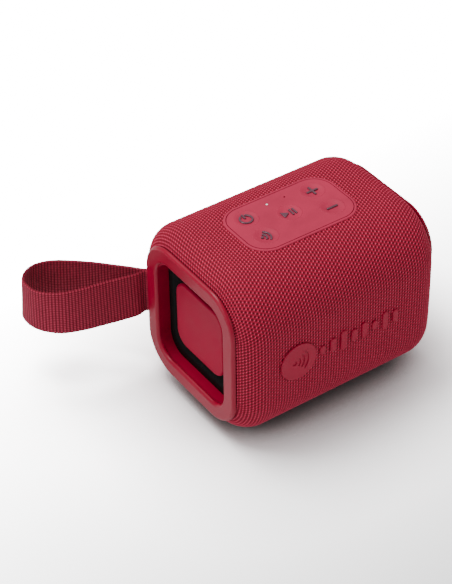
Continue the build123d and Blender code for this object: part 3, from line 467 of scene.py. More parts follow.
FINISHES = {
    "frame": Finish("frame_satin_red", (0.27, 0.0, 0.021), 0.36, bump=0.08, drift=0.04, specular=0.26),
    "plate": Finish("plate_satin_red", (0.31, 0.0, 0.027), 0.5, bump=0.08, drift=0.04, specular=0.12),
    "panel": Finish("panel_soft_red", (0.4, 0.02, 0.058), 0.6, Grain.SOFT, 0.3, 0.08, specular=0.22),
    "trim": Finish("trim_rubber_red", (0.31, 0.0, 0.026), 0.5, Grain.SOFT, 0.12, 0.05, specular=0.25),
    "sign": Finish("key_sign_grey", linear(92, 52, 66), 0.3, bump=0.05, drift=0.08, coat=0.4),
    "black_rubber": Finish(
        "black_rubber", (0.0022, 0.0018, 0.002), 0.7, Grain.SOFT, bump=0.15, specular=0.12
    ),
    "inner": Finish("inner_black", linear(30, 28, 29), 0.55, bump=0.15),
    "steel": Finish("plated_steel", (0.55, 0.55, 0.56), 0.3, Grain.BRUSHED, 0.05, 0.05, metallic=1.0),
    "magnet": Finish("nickel_plate", (0.42, 0.42, 0.44), 0.35, Grain.BRUSHED, 0.05, 0.08, metallic=1.0),
    "cone": Finish("pulp_cone", linear(42, 42, 44), 0.8, Grain.FLOW, bump=0.3),
    "cell": Finish("cell_sleeve_blue", linear(40, 86, 150), 0.3, Grain.FLOW, bump=0.03, coat=0.4),
    "board": Finish("board_green", linear(20, 92, 52), 0.4, Grain.FLOW, bump=0.06, coat=0.3),
    "chip": Finish("chip_black", linear(24, 24, 26), 0.45, bump=0.1),
    "lens": Finish("light_pipe_white", linear(252, 248, 246), 0.25, bump=0.02, drift=0.02),
    "lead": Finish("lead_red", linear(150, 20, 24), 0.4, Grain.FLOW, bump=0.05),
}

# knit colours: painted shade at the bottom of each pit, the yarn's red, a painted highlight on the proud
# strands
KNIT = ThreadFinish(
    "knit_red", "crest_highlight", (0.1, 0.0, 0.006), (0.42, 0.005, 0.038), (1.0, 0.14, 0.26)
)
# webbing colours: painted shade in the rib hollows, the yarn's red, a painted highlight on the rib tops
WEBBING = ThreadFinish(
    "webbing_red", "crest_highlight", (0.05, 0.0, 0.004), (0.2, 0.0, 0.017), (0.68, 0.07, 0.13)
)

# Which finish each kept CAD node takes
DRESS = {
    "frame": ["left_end_frame", "right_end_frame", "port_bezel", "strap_cup"],
    "plate": ["left_radiator_plate", "right_radiator_plate"],
    "panel": ["panel_tray", "port_flap"],
    "trim": ["level_bars"],
    "black_rubber": [
        "foot_pad", "shell_gasket",
        "panel_gasket", "left_driver_surround", "right_driver_surround",
    ],
    "inner": [
        "front_shell", "rear_shell", "left_radiator_carrier", "right_radiator_carrier",
        "battery_cradle", "left_driver_basket", "right_driver_basket",
    ],
    "steel": [
        "case_screws", "driver_screws", "frame_screws", "key_board_screws", "main_board_screws",
        "port_flap_pin", "strap_pin", "left_radiator_weight", "right_radiator_weight",
        "charge_socket", "dome_switches",
    ],
    "magnet": ["left_driver_magnet", "right_driver_magnet"],
    "cone": ["left_driver_cone", "right_driver_cone"],
    "cell": ["battery_cells"],
    "board": ["key_board", "main_board", "charge_board"],
    "chip": ["power_chips", "wireless_module", "microphone", "status_led"],
    "lens": ["status_light_pipe"],
    "lead": ["battery_lead", "driver_leads", "key_flat_cable"],
}


# ------------------------------------------------------------------ knitted sleeve


@dataclass
class KnitSleeve:
    """Open-hole knit stretched over the body, one pit for every hole."""

    side_crown: float = 1.4
    top_crown: float = 1.0
    corner_radius: float = 29.0
    end_radius: float = 13.0
    pitch: float = 1.85
    hem: float = 3.6
    tuck_under: float = 0.5
    trim_tuck: float = 0.6
    cup_half_width: float = 2.9
    hole: float = 0.46
    shoulder: float = 0.7
    depth: float = 0.42
    material: bpy.types.Material = field(default=None)

    def __post_init__(self) -> None:
        """Read the body's size from the frame."""
        low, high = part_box("fabric_sleeve")
        self.half_length = high.x / MM
        self.half_depth = high.y / MM
        self.half_height = (high.z - low.z) / 2 / MM
        self.middle = (high.z + low.z) / 2 / MM
        self.outline, self.normals, self.lengths = self.section()

    def section(self) -> tuple[np.ndarray, np.ndarray, np.ndarray]:
        """Trace the body's crowned, round-cornered section.

        Returns:
            Points, outward normals and running length, round from the middle of the top.
        """
        reach_y, reach_z = self.half_depth - self.side_crown, self.half_height - self.top_crown
        side_radius = (reach_z**2 + self.side_crown**2) / (2 * self.side_crown)
        top_radius = (reach_y**2 + self.top_crown**2) / (2 * self.top_crown)
        side_back = side_radius - self.half_depth
        top_back = top_radius - self.half_height
        y = z = self.half_depth - self.corner_radius
        for _ in range(60):
            y = math.sqrt((side_radius - self.corner_radius) ** 2 - z**2) - side_back
            z = math.sqrt((top_radius - self.corner_radius) ** 2 - y**2) - top_back
        top_turn = math.atan2(y, z + top_back)
        side_turn = math.atan2(z, y + side_back)
        spans = [
            ((0, -top_back), top_radius, 0.0, top_turn),
            ((y, z), self.corner_radius, top_turn, math.pi / 2 - side_turn),
            ((-side_back, 0), side_radius, math.pi / 2 - side_turn, math.pi / 2),
        ]
        points, normals = [], []
        for centre, radius, start, end in spans:
            for turn in np.linspace(start, end, 400, endpoint=False):
                normal = np.array([math.sin(turn), math.cos(turn)])
                points.append(np.array(centre) + radius * normal)
                normals.append(normal)
        points, normals = np.array(points), np.array(normals)
        flip = np.array([1, -1])
        last, last_normal = np.array([[self.half_depth, 0.0]]), np.array([[1.0, 0.0]])
        half = np.vstack([points, last, points[:0:-1] * flip])
        half_normals = np.vstack([normals, last_normal, normals[:0:-1] * flip])
        bottom = np.array([[0.0, -self.half_height]])
        whole = np.vstack([half, bottom, half[:0:-1] * [-1, 1], half[:1]])
        whole_normals = np.vstack(
            [half_normals, [[0.0, -1.0]], half_normals[:0:-1] * [-1, 1], half_normals[:1]]
        )
        steps = np.linalg.norm(np.diff(whole, axis=0), axis=1)
        return whole, whole_normals, np.concatenate(([0.0], np.cumsum(steps)))

    def wrap(self, along: np.ndarray, around: np.ndarray, height: np.ndarray) -> np.ndarray:
        """Carry points of the flat knit onto the body.

        Args:
            along: distance from the middle towards +X, over the end rounding.
            around: distance round the section from the middle of the top.
            height: distance outwards from the surface.

        Returns:
            Places in metres, N by 3.
        """
        around = np.mod(around, self.lengths[-1])
        point = np.stack([np.interp(around, self.lengths, self.outline[:, k]) for k in (0, 1)], 1)
        normal = np.stack([np.interp(around, self.lengths, self.normals[:, k]) for k in (0, 1)], 1)
        straight = self.half_length - self.end_radius
        beyond = np.abs(along) - straight
        turn = np.clip(beyond / self.end_radius, 0, math.pi / 2)
        tuck = np.maximum(0, beyond - self.end_radius * math.pi / 2)
        x = np.minimum(np.abs(along), straight) + self.end_radius * np.sin(turn)
        inset = self.end_radius * (1 - np.cos(turn)) + tuck
        place = point - normal * inset[:, None] + normal * (height * np.cos(turn))[:, None]
        x = np.sign(along) * (x + height * np.sin(turn))
        return np.stack([x, place[:, 0], place[:, 1] + self.middle], 1) * MM

    def cell(self) -> bpy.types.Object:
        """Build one hexagonal cell of knit: strands round a pit, one pair of them standing proud."""
        radius = self.pitch / math.sqrt(3)
        points, crest_highlight, faces = [], [], []
        # these values set painted light: the sunk shoulder ring and the pit take painted shade, the proud
        # strand pair a painted highlight
        corner_value, strand_value = (0.04, 0.5), {0: (0.02, 0.42), 1: (0.0, 0.36), 2: (0.15, 1.0)}
        for scale, drop, fade in ((1.0, 0.0, 1.0), (self.shoulder, -0.1, 0.62)):
            for corner in range(6):
                for between in (False, True):
                    angle = math.pi / 3 * (corner + 0.5 * between)
                    reach = radius * scale * ((0.93 if scale < 1 else 0.866) if between else 1.0)
                    rise, value = strand_value[corner % 3] if between else corner_value
                    points.append((reach * math.cos(angle), reach * math.sin(angle), rise + drop))
                    crest_highlight.append(value * fade)
        for corner in range(6):
            angle = math.pi / 3 * corner
            reach = radius * self.hole
            points.append((reach * math.cos(angle), reach * math.sin(angle), -0.3))
            crest_highlight.append(0.1)
        points.append((0.0, 0.0, -self.depth))
        crest_highlight.append(0.0)
        faces += [(k, (k + 1) % 12, 12 + (k + 1) % 12, 12 + k) for k in range(12)]
        for corner in range(6):
            first, middle, last = 12 + 2 * corner, 13 + 2 * corner, 12 + (2 * corner + 2) % 12
            near, after = 24 + corner, 24 + (corner + 1) % 6
            faces += [(first, middle, near), (middle, after, near), (middle, last, after)]
            faces.append((near, after, 30))
        mesh = bpy.data.meshes.new("knit_cell")
        mesh.from_pydata([tuple(c * MM for c in p) for p in points], [], faces)
        layer = mesh.attributes.new("crest_highlight", "FLOAT", "POINT")
        layer.data.foreach_set("value", crest_highlight)
        return new_object("knit_cell", mesh)

    def flat_knit(self, columns: int, rows: int, row_step: float) -> bpy.types.Mesh:
        """Lay the cells out flat with geometry nodes, every other column half a hole on.

        Args:
            columns: cell columns along the body.
            rows: cells round the body in each column.
            row_step: spacing of the cells round the body, in millimetres.

        Returns:
            The flat knit as one plain mesh.
        """
        column_step = self.pitch * math.sqrt(3) / 2
        cell = self.cell()
        tree = bpy.data.node_groups.new("knit_layout", "GeometryNodeTree")
        face = tree.interface
        face.new_socket("Geometry", in_out="OUTPUT", socket_type="NodeSocketGeometry")
        sockets = {}
        for label, kind in (
            ("Columns", "NodeSocketInt"),
            ("Rows", "NodeSocketInt"),
            ("Column step", "NodeSocketFloat"),
            ("Row step", "NodeSocketFloat"),
            ("Cell", "NodeSocketObject"),
            ("Material", "NodeSocketMaterial"),
        ):
            sockets[label] = face.new_socket(label, in_out="INPUT", socket_type=kind).identifier
        nodes, links = tree.nodes, tree.links
        given, result = nodes.new("NodeGroupInput"), nodes.new("NodeGroupOutput")

        def math_node(operation: str, first: object, second: object) -> bpy.types.NodeSocket:
            """Add a math node on sockets or plain numbers."""
            node = nodes.new("ShaderNodeMath")
            node.operation = operation
            for slot, value in zip(node.inputs, (first, second)):
                if isinstance(value, bpy.types.NodeSocket):
                    links.new(value, slot)
                else:
                    slot.default_value = value
            return node.outputs["Value"]

        count = math_node("MULTIPLY", given.outputs["Columns"], given.outputs["Rows"])
        line = nodes.new("GeometryNodeMeshLine")
        links.new(count, line.inputs["Count"])
        index = nodes.new("GeometryNodeInputIndex").outputs["Index"]
        column = math_node("FLOOR", math_node("DIVIDE", index, given.outputs["Rows"]), 0.0)
        row = math_node("MODULO", index, given.outputs["Rows"])
        stagger = math_node("MULTIPLY", math_node("MODULO", column, 2.0), 0.5)
        centre = math_node("MULTIPLY", math_node("SUBTRACT", given.outputs["Columns"], 1.0), 0.5)
        place = nodes.new("ShaderNodeCombineXYZ")
        along = math_node("SUBTRACT", column, centre)
        links.new(math_node("MULTIPLY", along, given.outputs["Column step"]), place.inputs["X"])
        round_body = math_node("ADD", row, stagger)
        links.new(math_node("MULTIPLY", round_body, given.outputs["Row step"]), place.inputs["Y"])
        move = nodes.new("GeometryNodeSetPosition")
        links.new(line.outputs["Mesh"], move.inputs["Geometry"])
        links.new(place.outputs["Vector"], move.inputs["Position"])
        pick = nodes.new("GeometryNodeObjectInfo")
        links.new(given.outputs["Cell"], pick.inputs["Object"])
        copies = nodes.new("GeometryNodeInstanceOnPoints")
        links.new(move.outputs["Geometry"], copies.inputs["Points"])
        links.new(pick.outputs["Geometry"], copies.inputs["Instance"])
        real = nodes.new("GeometryNodeRealizeInstances")
        links.new(copies.outputs["Instances"], real.inputs["Geometry"])
        merge = nodes.new("GeometryNodeMergeByDistance")
        merge.inputs["Distance"].default_value = 0.06 * MM
        links.new(real.outputs["Geometry"], merge.inputs["Geometry"])
        colour = nodes.new("GeometryNodeSetMaterial")
        links.new(merge.outputs["Geometry"], colour.inputs["Geometry"])
        links.new(given.outputs["Material"], colour.inputs["Material"])
        links.new(colour.outputs["Geometry"], result.inputs["Geometry"])

        holder = new_object("knit_holder", bpy.data.meshes.new("knit_holder"))
        modifier = holder.modifiers.new("layout", "NODES")
        modifier.node_group = tree
        values = {
            "Columns": columns,
            "Rows": rows,
            "Column step": column_step * MM,
            "Row step": row_step * MM,
            "Cell": cell,
            "Material": self.material,
        }
        for label, value in values.items():
            modifier[sockets[label]] = value
        bpy.context.view_layer.update()
        depsgraph = bpy.context.evaluated_depsgraph_get()
        flat = bpy.data.meshes.new_from_object(holder.evaluated_get(depsgraph))
        bpy.data.objects.remove(holder)
        bpy.data.objects.remove(cell)
        return flat

    def covered(self, centre: np.ndarray) -> np.ndarray:
        """Say which faces lie under the panel, the badge, the port, the strap cup or a foot.

        Args:
            centre: face centres in millimetres, N by 3.

        Returns:
            True where the knit is cut away.
        """
        x, y, z = centre.T
        cut = np.zeros(len(centre), bool)
        low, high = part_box("panel_tray")
        half_x, half_y = high.x / MM - self.tuck_under, high.y / MM - self.tuck_under
        radius = 12.0 - self.tuck_under
        over_x = np.maximum(np.abs(x) - (half_x - radius), 0)
        over_y = np.maximum(np.abs(y) - (half_y - radius), 0)
        cut |= (z > self.middle) & (np.hypot(over_x, over_y) < radius)
        low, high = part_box("badge_disc")
        badge = (low + high) / 2 / MM
        cut |= (y < 0) & (np.hypot(x - badge.x, z - badge.z) < (high.x - low.x) / 2 / MM - self.trim_tuck)
        low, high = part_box("port_bezel")
        port = (low + high) / 2 / MM
        beside = np.abs(x) < high.x / MM - self.trim_tuck
        level = np.abs(z - port.z) < (high.z - low.z) / 2 / MM - self.trim_tuck
        cut |= (y > 0) & beside & level
        low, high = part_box("strap_cup")
        cup = (low + high) / 2 / MM
        out = np.array(STRAP_OUT)
        aside = (x - cup.x) * -out[1] + (y - cup.y) * out[0]
        ahead = (x - cup.x) * out[0] + (y - cup.y) * out[1]
        tall = np.abs(z - cup.z) < (high.z - low.z) / 2 / MM - self.trim_tuck
        cut |= (ahead > 0) & (np.abs(aside) < self.cup_half_width) & tall
        low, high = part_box("foot_pad")
        half_x, half_y = high.x / MM - self.tuck_under, high.y / MM - self.tuck_under
        radius = 13.0 - self.tuck_under
        over_x = np.maximum(np.abs(x) - (half_x - radius), 0)
        over_y = np.maximum(np.abs(y) - (half_y - radius), 0)
        return cut | ((z < self.middle) & (np.hypot(over_x, over_y) < radius))

    def build(self) -> None:
        """Make the knit, wrap it on the body and part it into four panels."""
        self.material = KNIT.build()
        around = self.lengths[-1]
        rows = round(around / self.pitch)
        row_step = around / rows
        column_step = self.pitch * math.sqrt(3) / 2
        straight = self.half_length - self.end_radius
        reach = straight + self.end_radius * math.pi / 2 + self.hem
        columns = 2 * round(reach / column_step)
        flat = self.flat_knit(columns, rows, row_step)
        points = np.empty(len(flat.vertices) * 3, np.float32)
        flat.vertices.foreach_get("co", points)
        points = points.reshape(-1, 3).astype(float) / MM
        crest_highlight = np.empty(len(flat.vertices), np.float32)
        flat.attributes["crest_highlight"].data.foreach_get("value", crest_highlight)
        corners = np.empty(len(flat.loops), np.int32)
        flat.loops.foreach_get("vertex_index", corners)
        totals = np.empty(len(flat.polygons), np.int32)
        flat.polygons.foreach_get("loop_total", totals)
        bpy.data.meshes.remove(flat)
        starts = np.concatenate(([0], np.cumsum(totals)[:-1]))
        generator = np.random.default_rng(7)
        wobble = generator.normal(0, 0.018, (len(points), 2))
        placed = self.wrap(points[:, 0] + wobble[:, 0], points[:, 1] + wobble[:, 1], points[:, 2])
        centre = np.add.reduceat(placed[corners], starts, axis=0) / totals[:, None]
        centre_around = np.add.reduceat(points[corners, 1], starts) / totals
        keep = ~self.covered(centre / MM)
        quarter = np.floor(np.mod(centre_around / around + 0.125, 1.0) * 4).astype(int)
        for part, label in enumerate(("top", "back", "base", "front")):
            chosen = keep & (quarter == part)
            take = np.repeat(chosen, totals)
            used, renumbered = np.unique(corners[take], return_inverse=True)
            mesh = mesh_from_arrays(
                f"knit_{label}", placed[used], renumbered, totals[chosen], {"crest_highlight": crest_highlight[used]}
            )
            mesh.materials.append(self.material)
            piece = new_object(f"knit_{label}", mesh)
            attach(piece, "cabinet")
            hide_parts("fabric_sleeve")
            log.info("%s: %d faces", piece.name, len(mesh.polygons))


# ------------------------------------------------------------------ key panel


class Sign(Enum):
    """Signs on the keys, each with the key node that it stands on."""

    POWER = "key_power"
    PAIRING = "key_pairing"
    PLAY = "key_play"
    VOLUME_UP = "key_volume_up"
    VOLUME_DOWN = "key_volume_down"


@dataclass
class KeyPanel:
    """Rubber skin of the panel with a soft dish and a raised sign over each key."""

    rim: float = 1.6
    skin: float = 1.1
    dish_radius: float = 6.35
    dish_depth: float = 0.75
    dish_wall: float = 0.5
    sign_rise: float = 0.72
    stroke: float = 1.0

    def __post_init__(self) -> None:
        """Read the panel's size and the keys' places from the frame."""
        low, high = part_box("panel_tray")
        self.top = high.z / MM
        self.half = (high.x / MM - self.rim, high.y / MM - self.rim)
        self.corner = 12.0 - self.rim
        self.places = {}
        for sign in Sign:
            low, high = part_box(sign.value)
            middle = (low + high) / 2 / MM
            self.places[sign] = (middle.x, middle.y)

    def hole(self, node: str) -> tuple[float, float]:
        """Find where a small piece under the skin sits."""
        low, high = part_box(node)
        return ((low.x + high.x) / 2 / MM, (low.y + high.y) / 2 / MM)

    def sign_outlines(self, sign: Sign) -> list[list[Outline]]:
        """Draw a sign about the origin.

        Args:
            sign: which sign to draw.

        Returns:
            One list of outlines for each separate stroke.
        """
        width = self.stroke
        if sign is Sign.POWER:
            return [[arc_band((0, 0), 3.1, width, 118, 422)], [stadium((0, 2.3), (width, 3.6))]]
        if sign is Sign.PAIRING:
            return [
                [arc_band((-2.2, 0), 2.4, width, -48, 48)],
                [arc_band((-2.2, 0), 4.4, width, -48, 48)],
                [circle((-2.0, 0), 0.75, 24)],
            ]
        if sign is Sign.PLAY:
            triangle = [(-3.9, -2.3), (-0.3, 0.0), (-3.9, 2.3)]
            bars = [stadium((x, 0), (width * 0.9, 4.6)) for x in (1.2, 3.0)]
            return [[triangle], *[[bar] for bar in bars]]
        if sign is Sign.VOLUME_DOWN:
            return [[stadium((0, 0), (6.4, width))]]
        arm, half = 3.2, width / 2
        cross = [
            (half, half), (half, arm), (-half, arm), (-half, half), (-arm, half), (-arm, -half),
            (-half, -half), (-half, -arm), (half, -arm), (half, -half), (arm, -half), (arm, half),
        ]
        return [[cross]]

    def dish(self, sign: Sign) -> bpy.types.Object:
        """Make the soft round dish over one key, thin and closed."""
        rings, spokes = 22, 72
        radii = np.linspace(0.02, self.dish_radius, rings)
        angles = np.linspace(0, 2 * math.pi, spokes, endpoint=False)
        rise = smoothstep((radii - 2.6) / (self.dish_radius - 2.6))
        heights = self.top - self.dish_depth * (1 - rise)
        x0, y0 = self.places[sign]
        layers = list(zip(radii, heights))
        layers += [(radius, height - self.dish_wall) for radius, height in layers[::-1]]
        points = [
            (x0 + radius * math.cos(a), y0 + radius * math.sin(a), height)
            for radius, height in layers
            for a in angles
        ]
        corners, totals = grid_faces(len(layers), spokes, wrap=True)
        top_cap = np.arange(spokes)
        low_cap = np.arange(spokes)[::-1] + (len(layers) - 1) * spokes
        corners = np.concatenate([corners.reshape(-1, 4)[:, ::-1].ravel(), top_cap, low_cap])
        totals = np.concatenate([totals, [spokes, spokes]])
        mesh = mesh_from_arrays(f"dish_{sign.value}", np.array(points) * MM, corners, totals)
        face_outward(mesh)
        return new_object(f"dish_{sign.value}", mesh)

    def build(self) -> None:
        """Make the skin, the dishes and the signs, and hang the skin and the signs on their bodies."""
        rubber = FINISHES["panel"].build()
        ink = FINISHES["sign"].build()
        outlines = [rounded_rectangle(self.half, self.corner)]
        outlines += [circle(place, self.dish_radius, 72) for place in self.places.values()]
        outlines.append(circle(self.hole("status_light_pipe"), 0.55, 28))
        outlines.append(circle(self.hole("microphone"), 0.5, 20))
        mesh = plate("panel_skin", outlines, self.top, self.skin)
        mesh.materials.clear()
        mesh.materials.append(rubber)
        skin = new_object("panel_skin", mesh)
        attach(skin, "cabinet")
        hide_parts("panel_overlay")
        for sign, (x, y) in self.places.items():
            body = f"{sign.value}_body"
            dish = self.dish(sign)
            dish.data.materials.append(rubber)
            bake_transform(dish)
            face = self.top - self.dish_depth + self.sign_rise
            strokes = [
                plate(f"stroke_{index}", stroke, face, self.sign_rise + 0.25, 0.1)
                for index, stroke in enumerate(self.sign_outlines(sign))
            ]
            mark = joined(f"sign_{sign.value}", strokes)
            mark.transform(Matrix.Translation((x * MM, y * MM, 0)))
            mark.materials.clear()
            mark.materials.append(ink)
            piece = new_object(f"sign_{sign.value}", mark)
            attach(piece, body)
            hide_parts(sign.value)
            log.info("%s: dish and sign", sign.value)


# ------------------------------------------------------------------ radiator rubber


@dataclass
class RadiatorRubber:
    """Rubber ring between an end frame and its radiator plate."""

    flange: tuple = ((27.7, 29.4), 10.4)
    roll_outer: tuple = ((24.8, 25.4), 8.8)
    roll_inner: tuple = ((19.8, 19.6), 8.8)
    lip: tuple = ((18.95, 18.75), 7.75)
    front: float = 51.8
    drop: float = 3.0
    wall: float = 0.75

    def stations(self) -> list[tuple]:
        """List the ring's outlines from flange to lip, with the depth of each."""
        rows = [(*self.flange, self.front)]
        for share in np.linspace(0, 1, 15):
            (outer, outer_corner), (inner, inner_corner) = self.roll_outer, self.roll_inner
            half = tuple(a + (b - a) * share for a, b in zip(outer, inner))
            corner = outer_corner + (inner_corner - outer_corner) * share
            rows.append((half, corner, self.front - self.drop * float(smoothstep(share))))
        rows.append((*self.lip, self.front - self.drop - 0.1))
        return rows + [(half, corner, x - self.wall) for half, corner, x in rows[::-1]]

    def build(self) -> None:
        """Make both rings in place."""
        low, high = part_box("left_radiator_surround")
        middle = (low.z + high.z) / 2 / MM
        rubber = FINISHES["black_rubber"].build()
        for side, sign in (("left", -1), ("right", 1)):
            rows = self.stations()
            points = [
                (sign * x, y, z + middle)
                for half, corner, x in [*rows, rows[0]]
                for y, z in rounded_rectangle(half, corner)
            ]
            columns = len(points) // (len(rows) + 1)
            points = points[:-columns]
            corners, totals = grid_faces(len(rows) + 1, columns, wrap=True)
            corners = corners % len(points)
            name = f"{side}_radiator_roll"
            mesh = mesh_from_arrays(name, np.array(points) * MM, corners, totals)
            face_outward(mesh)
            mesh.materials.append(rubber)
            ring = new_object(name, mesh)
            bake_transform(ring)
            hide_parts(f"{side}_radiator_surround")
            log.info("%s: %d faces", name, len(mesh.polygons))


# ------------------------------------------------------------------ front badge


@dataclass
class Badge:
    """Round front badge with sunk sound arcs."""

    edge_round: float = 0.25
    sink: float = 0.45
    arc_radii: tuple = (3.2, 5.5, 7.8)
    arc_width: float = 0.95

    def build(self) -> None:
        """Make the disc and hang it on the cabinet."""
        low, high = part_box("badge_disc")
        centre = ((low.x + high.x) / 2 / MM, (low.z + high.z) / 2 / MM)
        radius, face = (high.x - low.x) / 2 / MM, -low.y / MM
        dot = (centre[0] - 2.6, centre[1])
        outlines = [circle(centre, radius, 96), circle(dot, 1.25, 32)]
        outlines += [arc_band(dot, reach, self.arc_width, -38, 38) for reach in self.arc_radii]
        front = plate("badge_front", outlines, face, 0.9, self.edge_round)
        back = plate("badge_back", [circle(centre, radius - 0.4, 64)], face - self.sink, 1.0)
        mesh = joined("badge_arcs", [front, back])
        mesh.transform(Matrix.Rotation(math.pi / 2, 4, "X"))
        mesh.materials.clear()
        mesh.materials.append(FINISHES["trim"].build())
        piece = new_object("badge_arcs", mesh)
        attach(piece, "cabinet")
        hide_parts("badge_disc")
        log.info("badge: %d arcs", len(self.arc_radii))


# ------------------------------------------------------------------ strap

STRAP_ANGLE = math.radians(149.0)
STRAP_OUT = (math.cos(STRAP_ANGLE), math.sin(STRAP_ANGLE))


@dataclass
class Strap:
    """Ribbed webbing loop that leaves the rear corner with its two legs together."""

    width: float = 25.4
    thickness: float = 1.3
    rib_pitch: float = 1.6
    rib_height: float = 0.3
    yarn_pitch: float = 1.1
    top_route: tuple = (
        (-62.9, 40.6), (-69.2, 42.0), (-79.3, 44.3), (-89.7, 46.1), (-99.3, 49.0), (-105.4, 53.2),
        (-108.9, 58.2), (-109.8, 64.1), (-108.7, 69.5), (-104.4, 73.9), (-99.1, 75.6),
        (-93.8, 74.8), (-88.3, 72.0), (-82.4, 67.4), (-75.0, 60.8), (-67.9, 53.3), (-61.2, 46.0),
    )
    low_route: tuple = (
        (-62.9, 39.4), (-69.1, 40.3), (-79.3, 42.5), (-89.9, 45.0), (-99.8, 48.9), (-106.0, 54.5),
        (-109.3, 60.6), (-110.2, 66.6), (-109.0, 72.4), (-104.9, 76.0), (-99.6, 77.4),
        (-94.0, 76.4), (-88.4, 73.6), (-82.5, 68.8), (-75.0, 61.8), (-67.9, 53.9), (-61.2, 46.2),
    )

    def edge_line(self, route: tuple, samples: int) -> tuple[np.ndarray, float]:
        """Trace one edge of the loop in plan, smoothly through its places.

        Args:
            route: places outside the cup, in millimetres.
            samples: number of places wanted along the edge.

        Returns:
            Evenly spaced places and the edge's length, in millimetres.
        """
        mouth = np.array(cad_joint("strap_swing")["pos_m"][:2]) / MM
        out = np.array(STRAP_OUT)
        side = np.array([-out[1], out[0]]) * (self.thickness / 2 + 0.06)
        leave = [mouth + out * step + side * (1 + 0.1 * (step > 0)) for step in (-3.2, -0.6, 2.2)]
        enter = [mouth + out * step - side * (1 + 0.1 * (step > 0)) for step in (2.2, -0.6, -3.2)]
        knots = np.vstack([leave, route, enter])
        knots = np.vstack([2 * knots[0] - knots[1], knots, 2 * knots[-1] - knots[-2]])
        share = np.linspace(0, 1, 24, endpoint=False)[:, None]
        spans = []
        for a, b, c, d in zip(knots, knots[1:], knots[2:], knots[3:]):
            spans.append(
                0.5 * (2 * b + (c - a) * share + (2 * a - 5 * b + 4 * c - d) * share**2
                       + (3 * b - a - 3 * c + d) * share**3)
            )
        dense = np.vstack([*spans, knots[-2:-1]])
        run = np.concatenate(([0], np.cumsum(np.linalg.norm(np.diff(dense, axis=0), axis=1))))
        length = np.linspace(0, run[-1], samples)
        return np.stack([np.interp(length, run, dense[:, k]) for k in (0, 1)], 1), float(run[-1])

    def build(self) -> None:
        """Make the webbing as a closed band with cross ribs on both faces."""
        samples, across = 620, 76
        upper, run = self.edge_line(self.top_route, samples)
        lower, low_run = self.edge_line(self.low_route, samples)
        run = (run + low_run) / 2
        length = np.linspace(0, run, samples)
        heading = np.gradient((upper + lower) / 2, axis=0)
        heading /= np.linalg.norm(heading, axis=1)[:, None]
        sideways = np.stack([-heading[:, 1], heading[:, 0]], 1)
        low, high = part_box("strap_webbing")
        middle = (low.z + high.z) / 2 / MM
        share = np.linspace(-1, 1, across)
        edge = np.clip((1 - np.abs(share)) * self.width / 2 / 0.9, 0, 1)
        roundness = np.sqrt(1 - (1 - edge) ** 2)
        rib = np.abs(np.sin(np.pi * length / self.rib_pitch))[:, None] ** 0.55
        yarn = 0.5 + 0.5 * np.cos(2 * np.pi * share * self.width / 2 / self.yarn_pitch)[None, :]
        relief = rib * (0.4 + 0.6 * yarn)
        heights = middle + share * self.width / 2
        blend = ((share + 1) / 2)[None, :, None]
        spine = upper[:, None, :] * blend + lower[:, None, :] * (1 - blend)
        rows, values = [], []
        for face in (1, -1):
            offset = face * (self.thickness / 2 + self.rib_height * (relief - 0.6)) * roundness[None, :]
            plan = spine + sideways[:, None, :] * offset[:, :, None]
            z = np.broadcast_to(heights, offset.shape)[:, :, None]
            sheet = np.concatenate([plan, z], axis=-1)
            rows.append(sheet if face == 1 else sheet[:, ::-1][:, 1:-1])
            values.append(relief if face == 1 else relief[:, ::-1][:, 1:-1])
        points = np.concatenate(rows, axis=1)
        shades = np.concatenate(values, axis=1)
        columns = points.shape[1]
        corners, totals = grid_faces(samples, columns, wrap=True)
        caps = [np.arange(columns)[::-1], np.arange(columns) + (samples - 1) * columns]
        corners = np.concatenate([corners, *caps])
        totals = np.concatenate([totals, [columns, columns]])
        # the rib relief is stored to paint shade in the rib hollows and a highlight on the rib tops
        mesh = mesh_from_arrays(
            "carry_strap_webbing", points.reshape(-1, 3) * MM, corners, totals, {"crest_highlight": shades.ravel()}
        )
        face_outward(mesh)
        mesh.materials.append(WEBBING.build())
        strap = new_object("carry_strap_webbing", mesh)
        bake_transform(strap)
        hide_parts("strap_webbing", "strap_tab")
        log.info("strap: %.1f mm of webbing", run)


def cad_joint(name: str) -> dict:
    """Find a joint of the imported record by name."""
    return next(joint for joint in frame["joints"] if joint["name"] == name)


# ------------------------------------------------------------------ stage


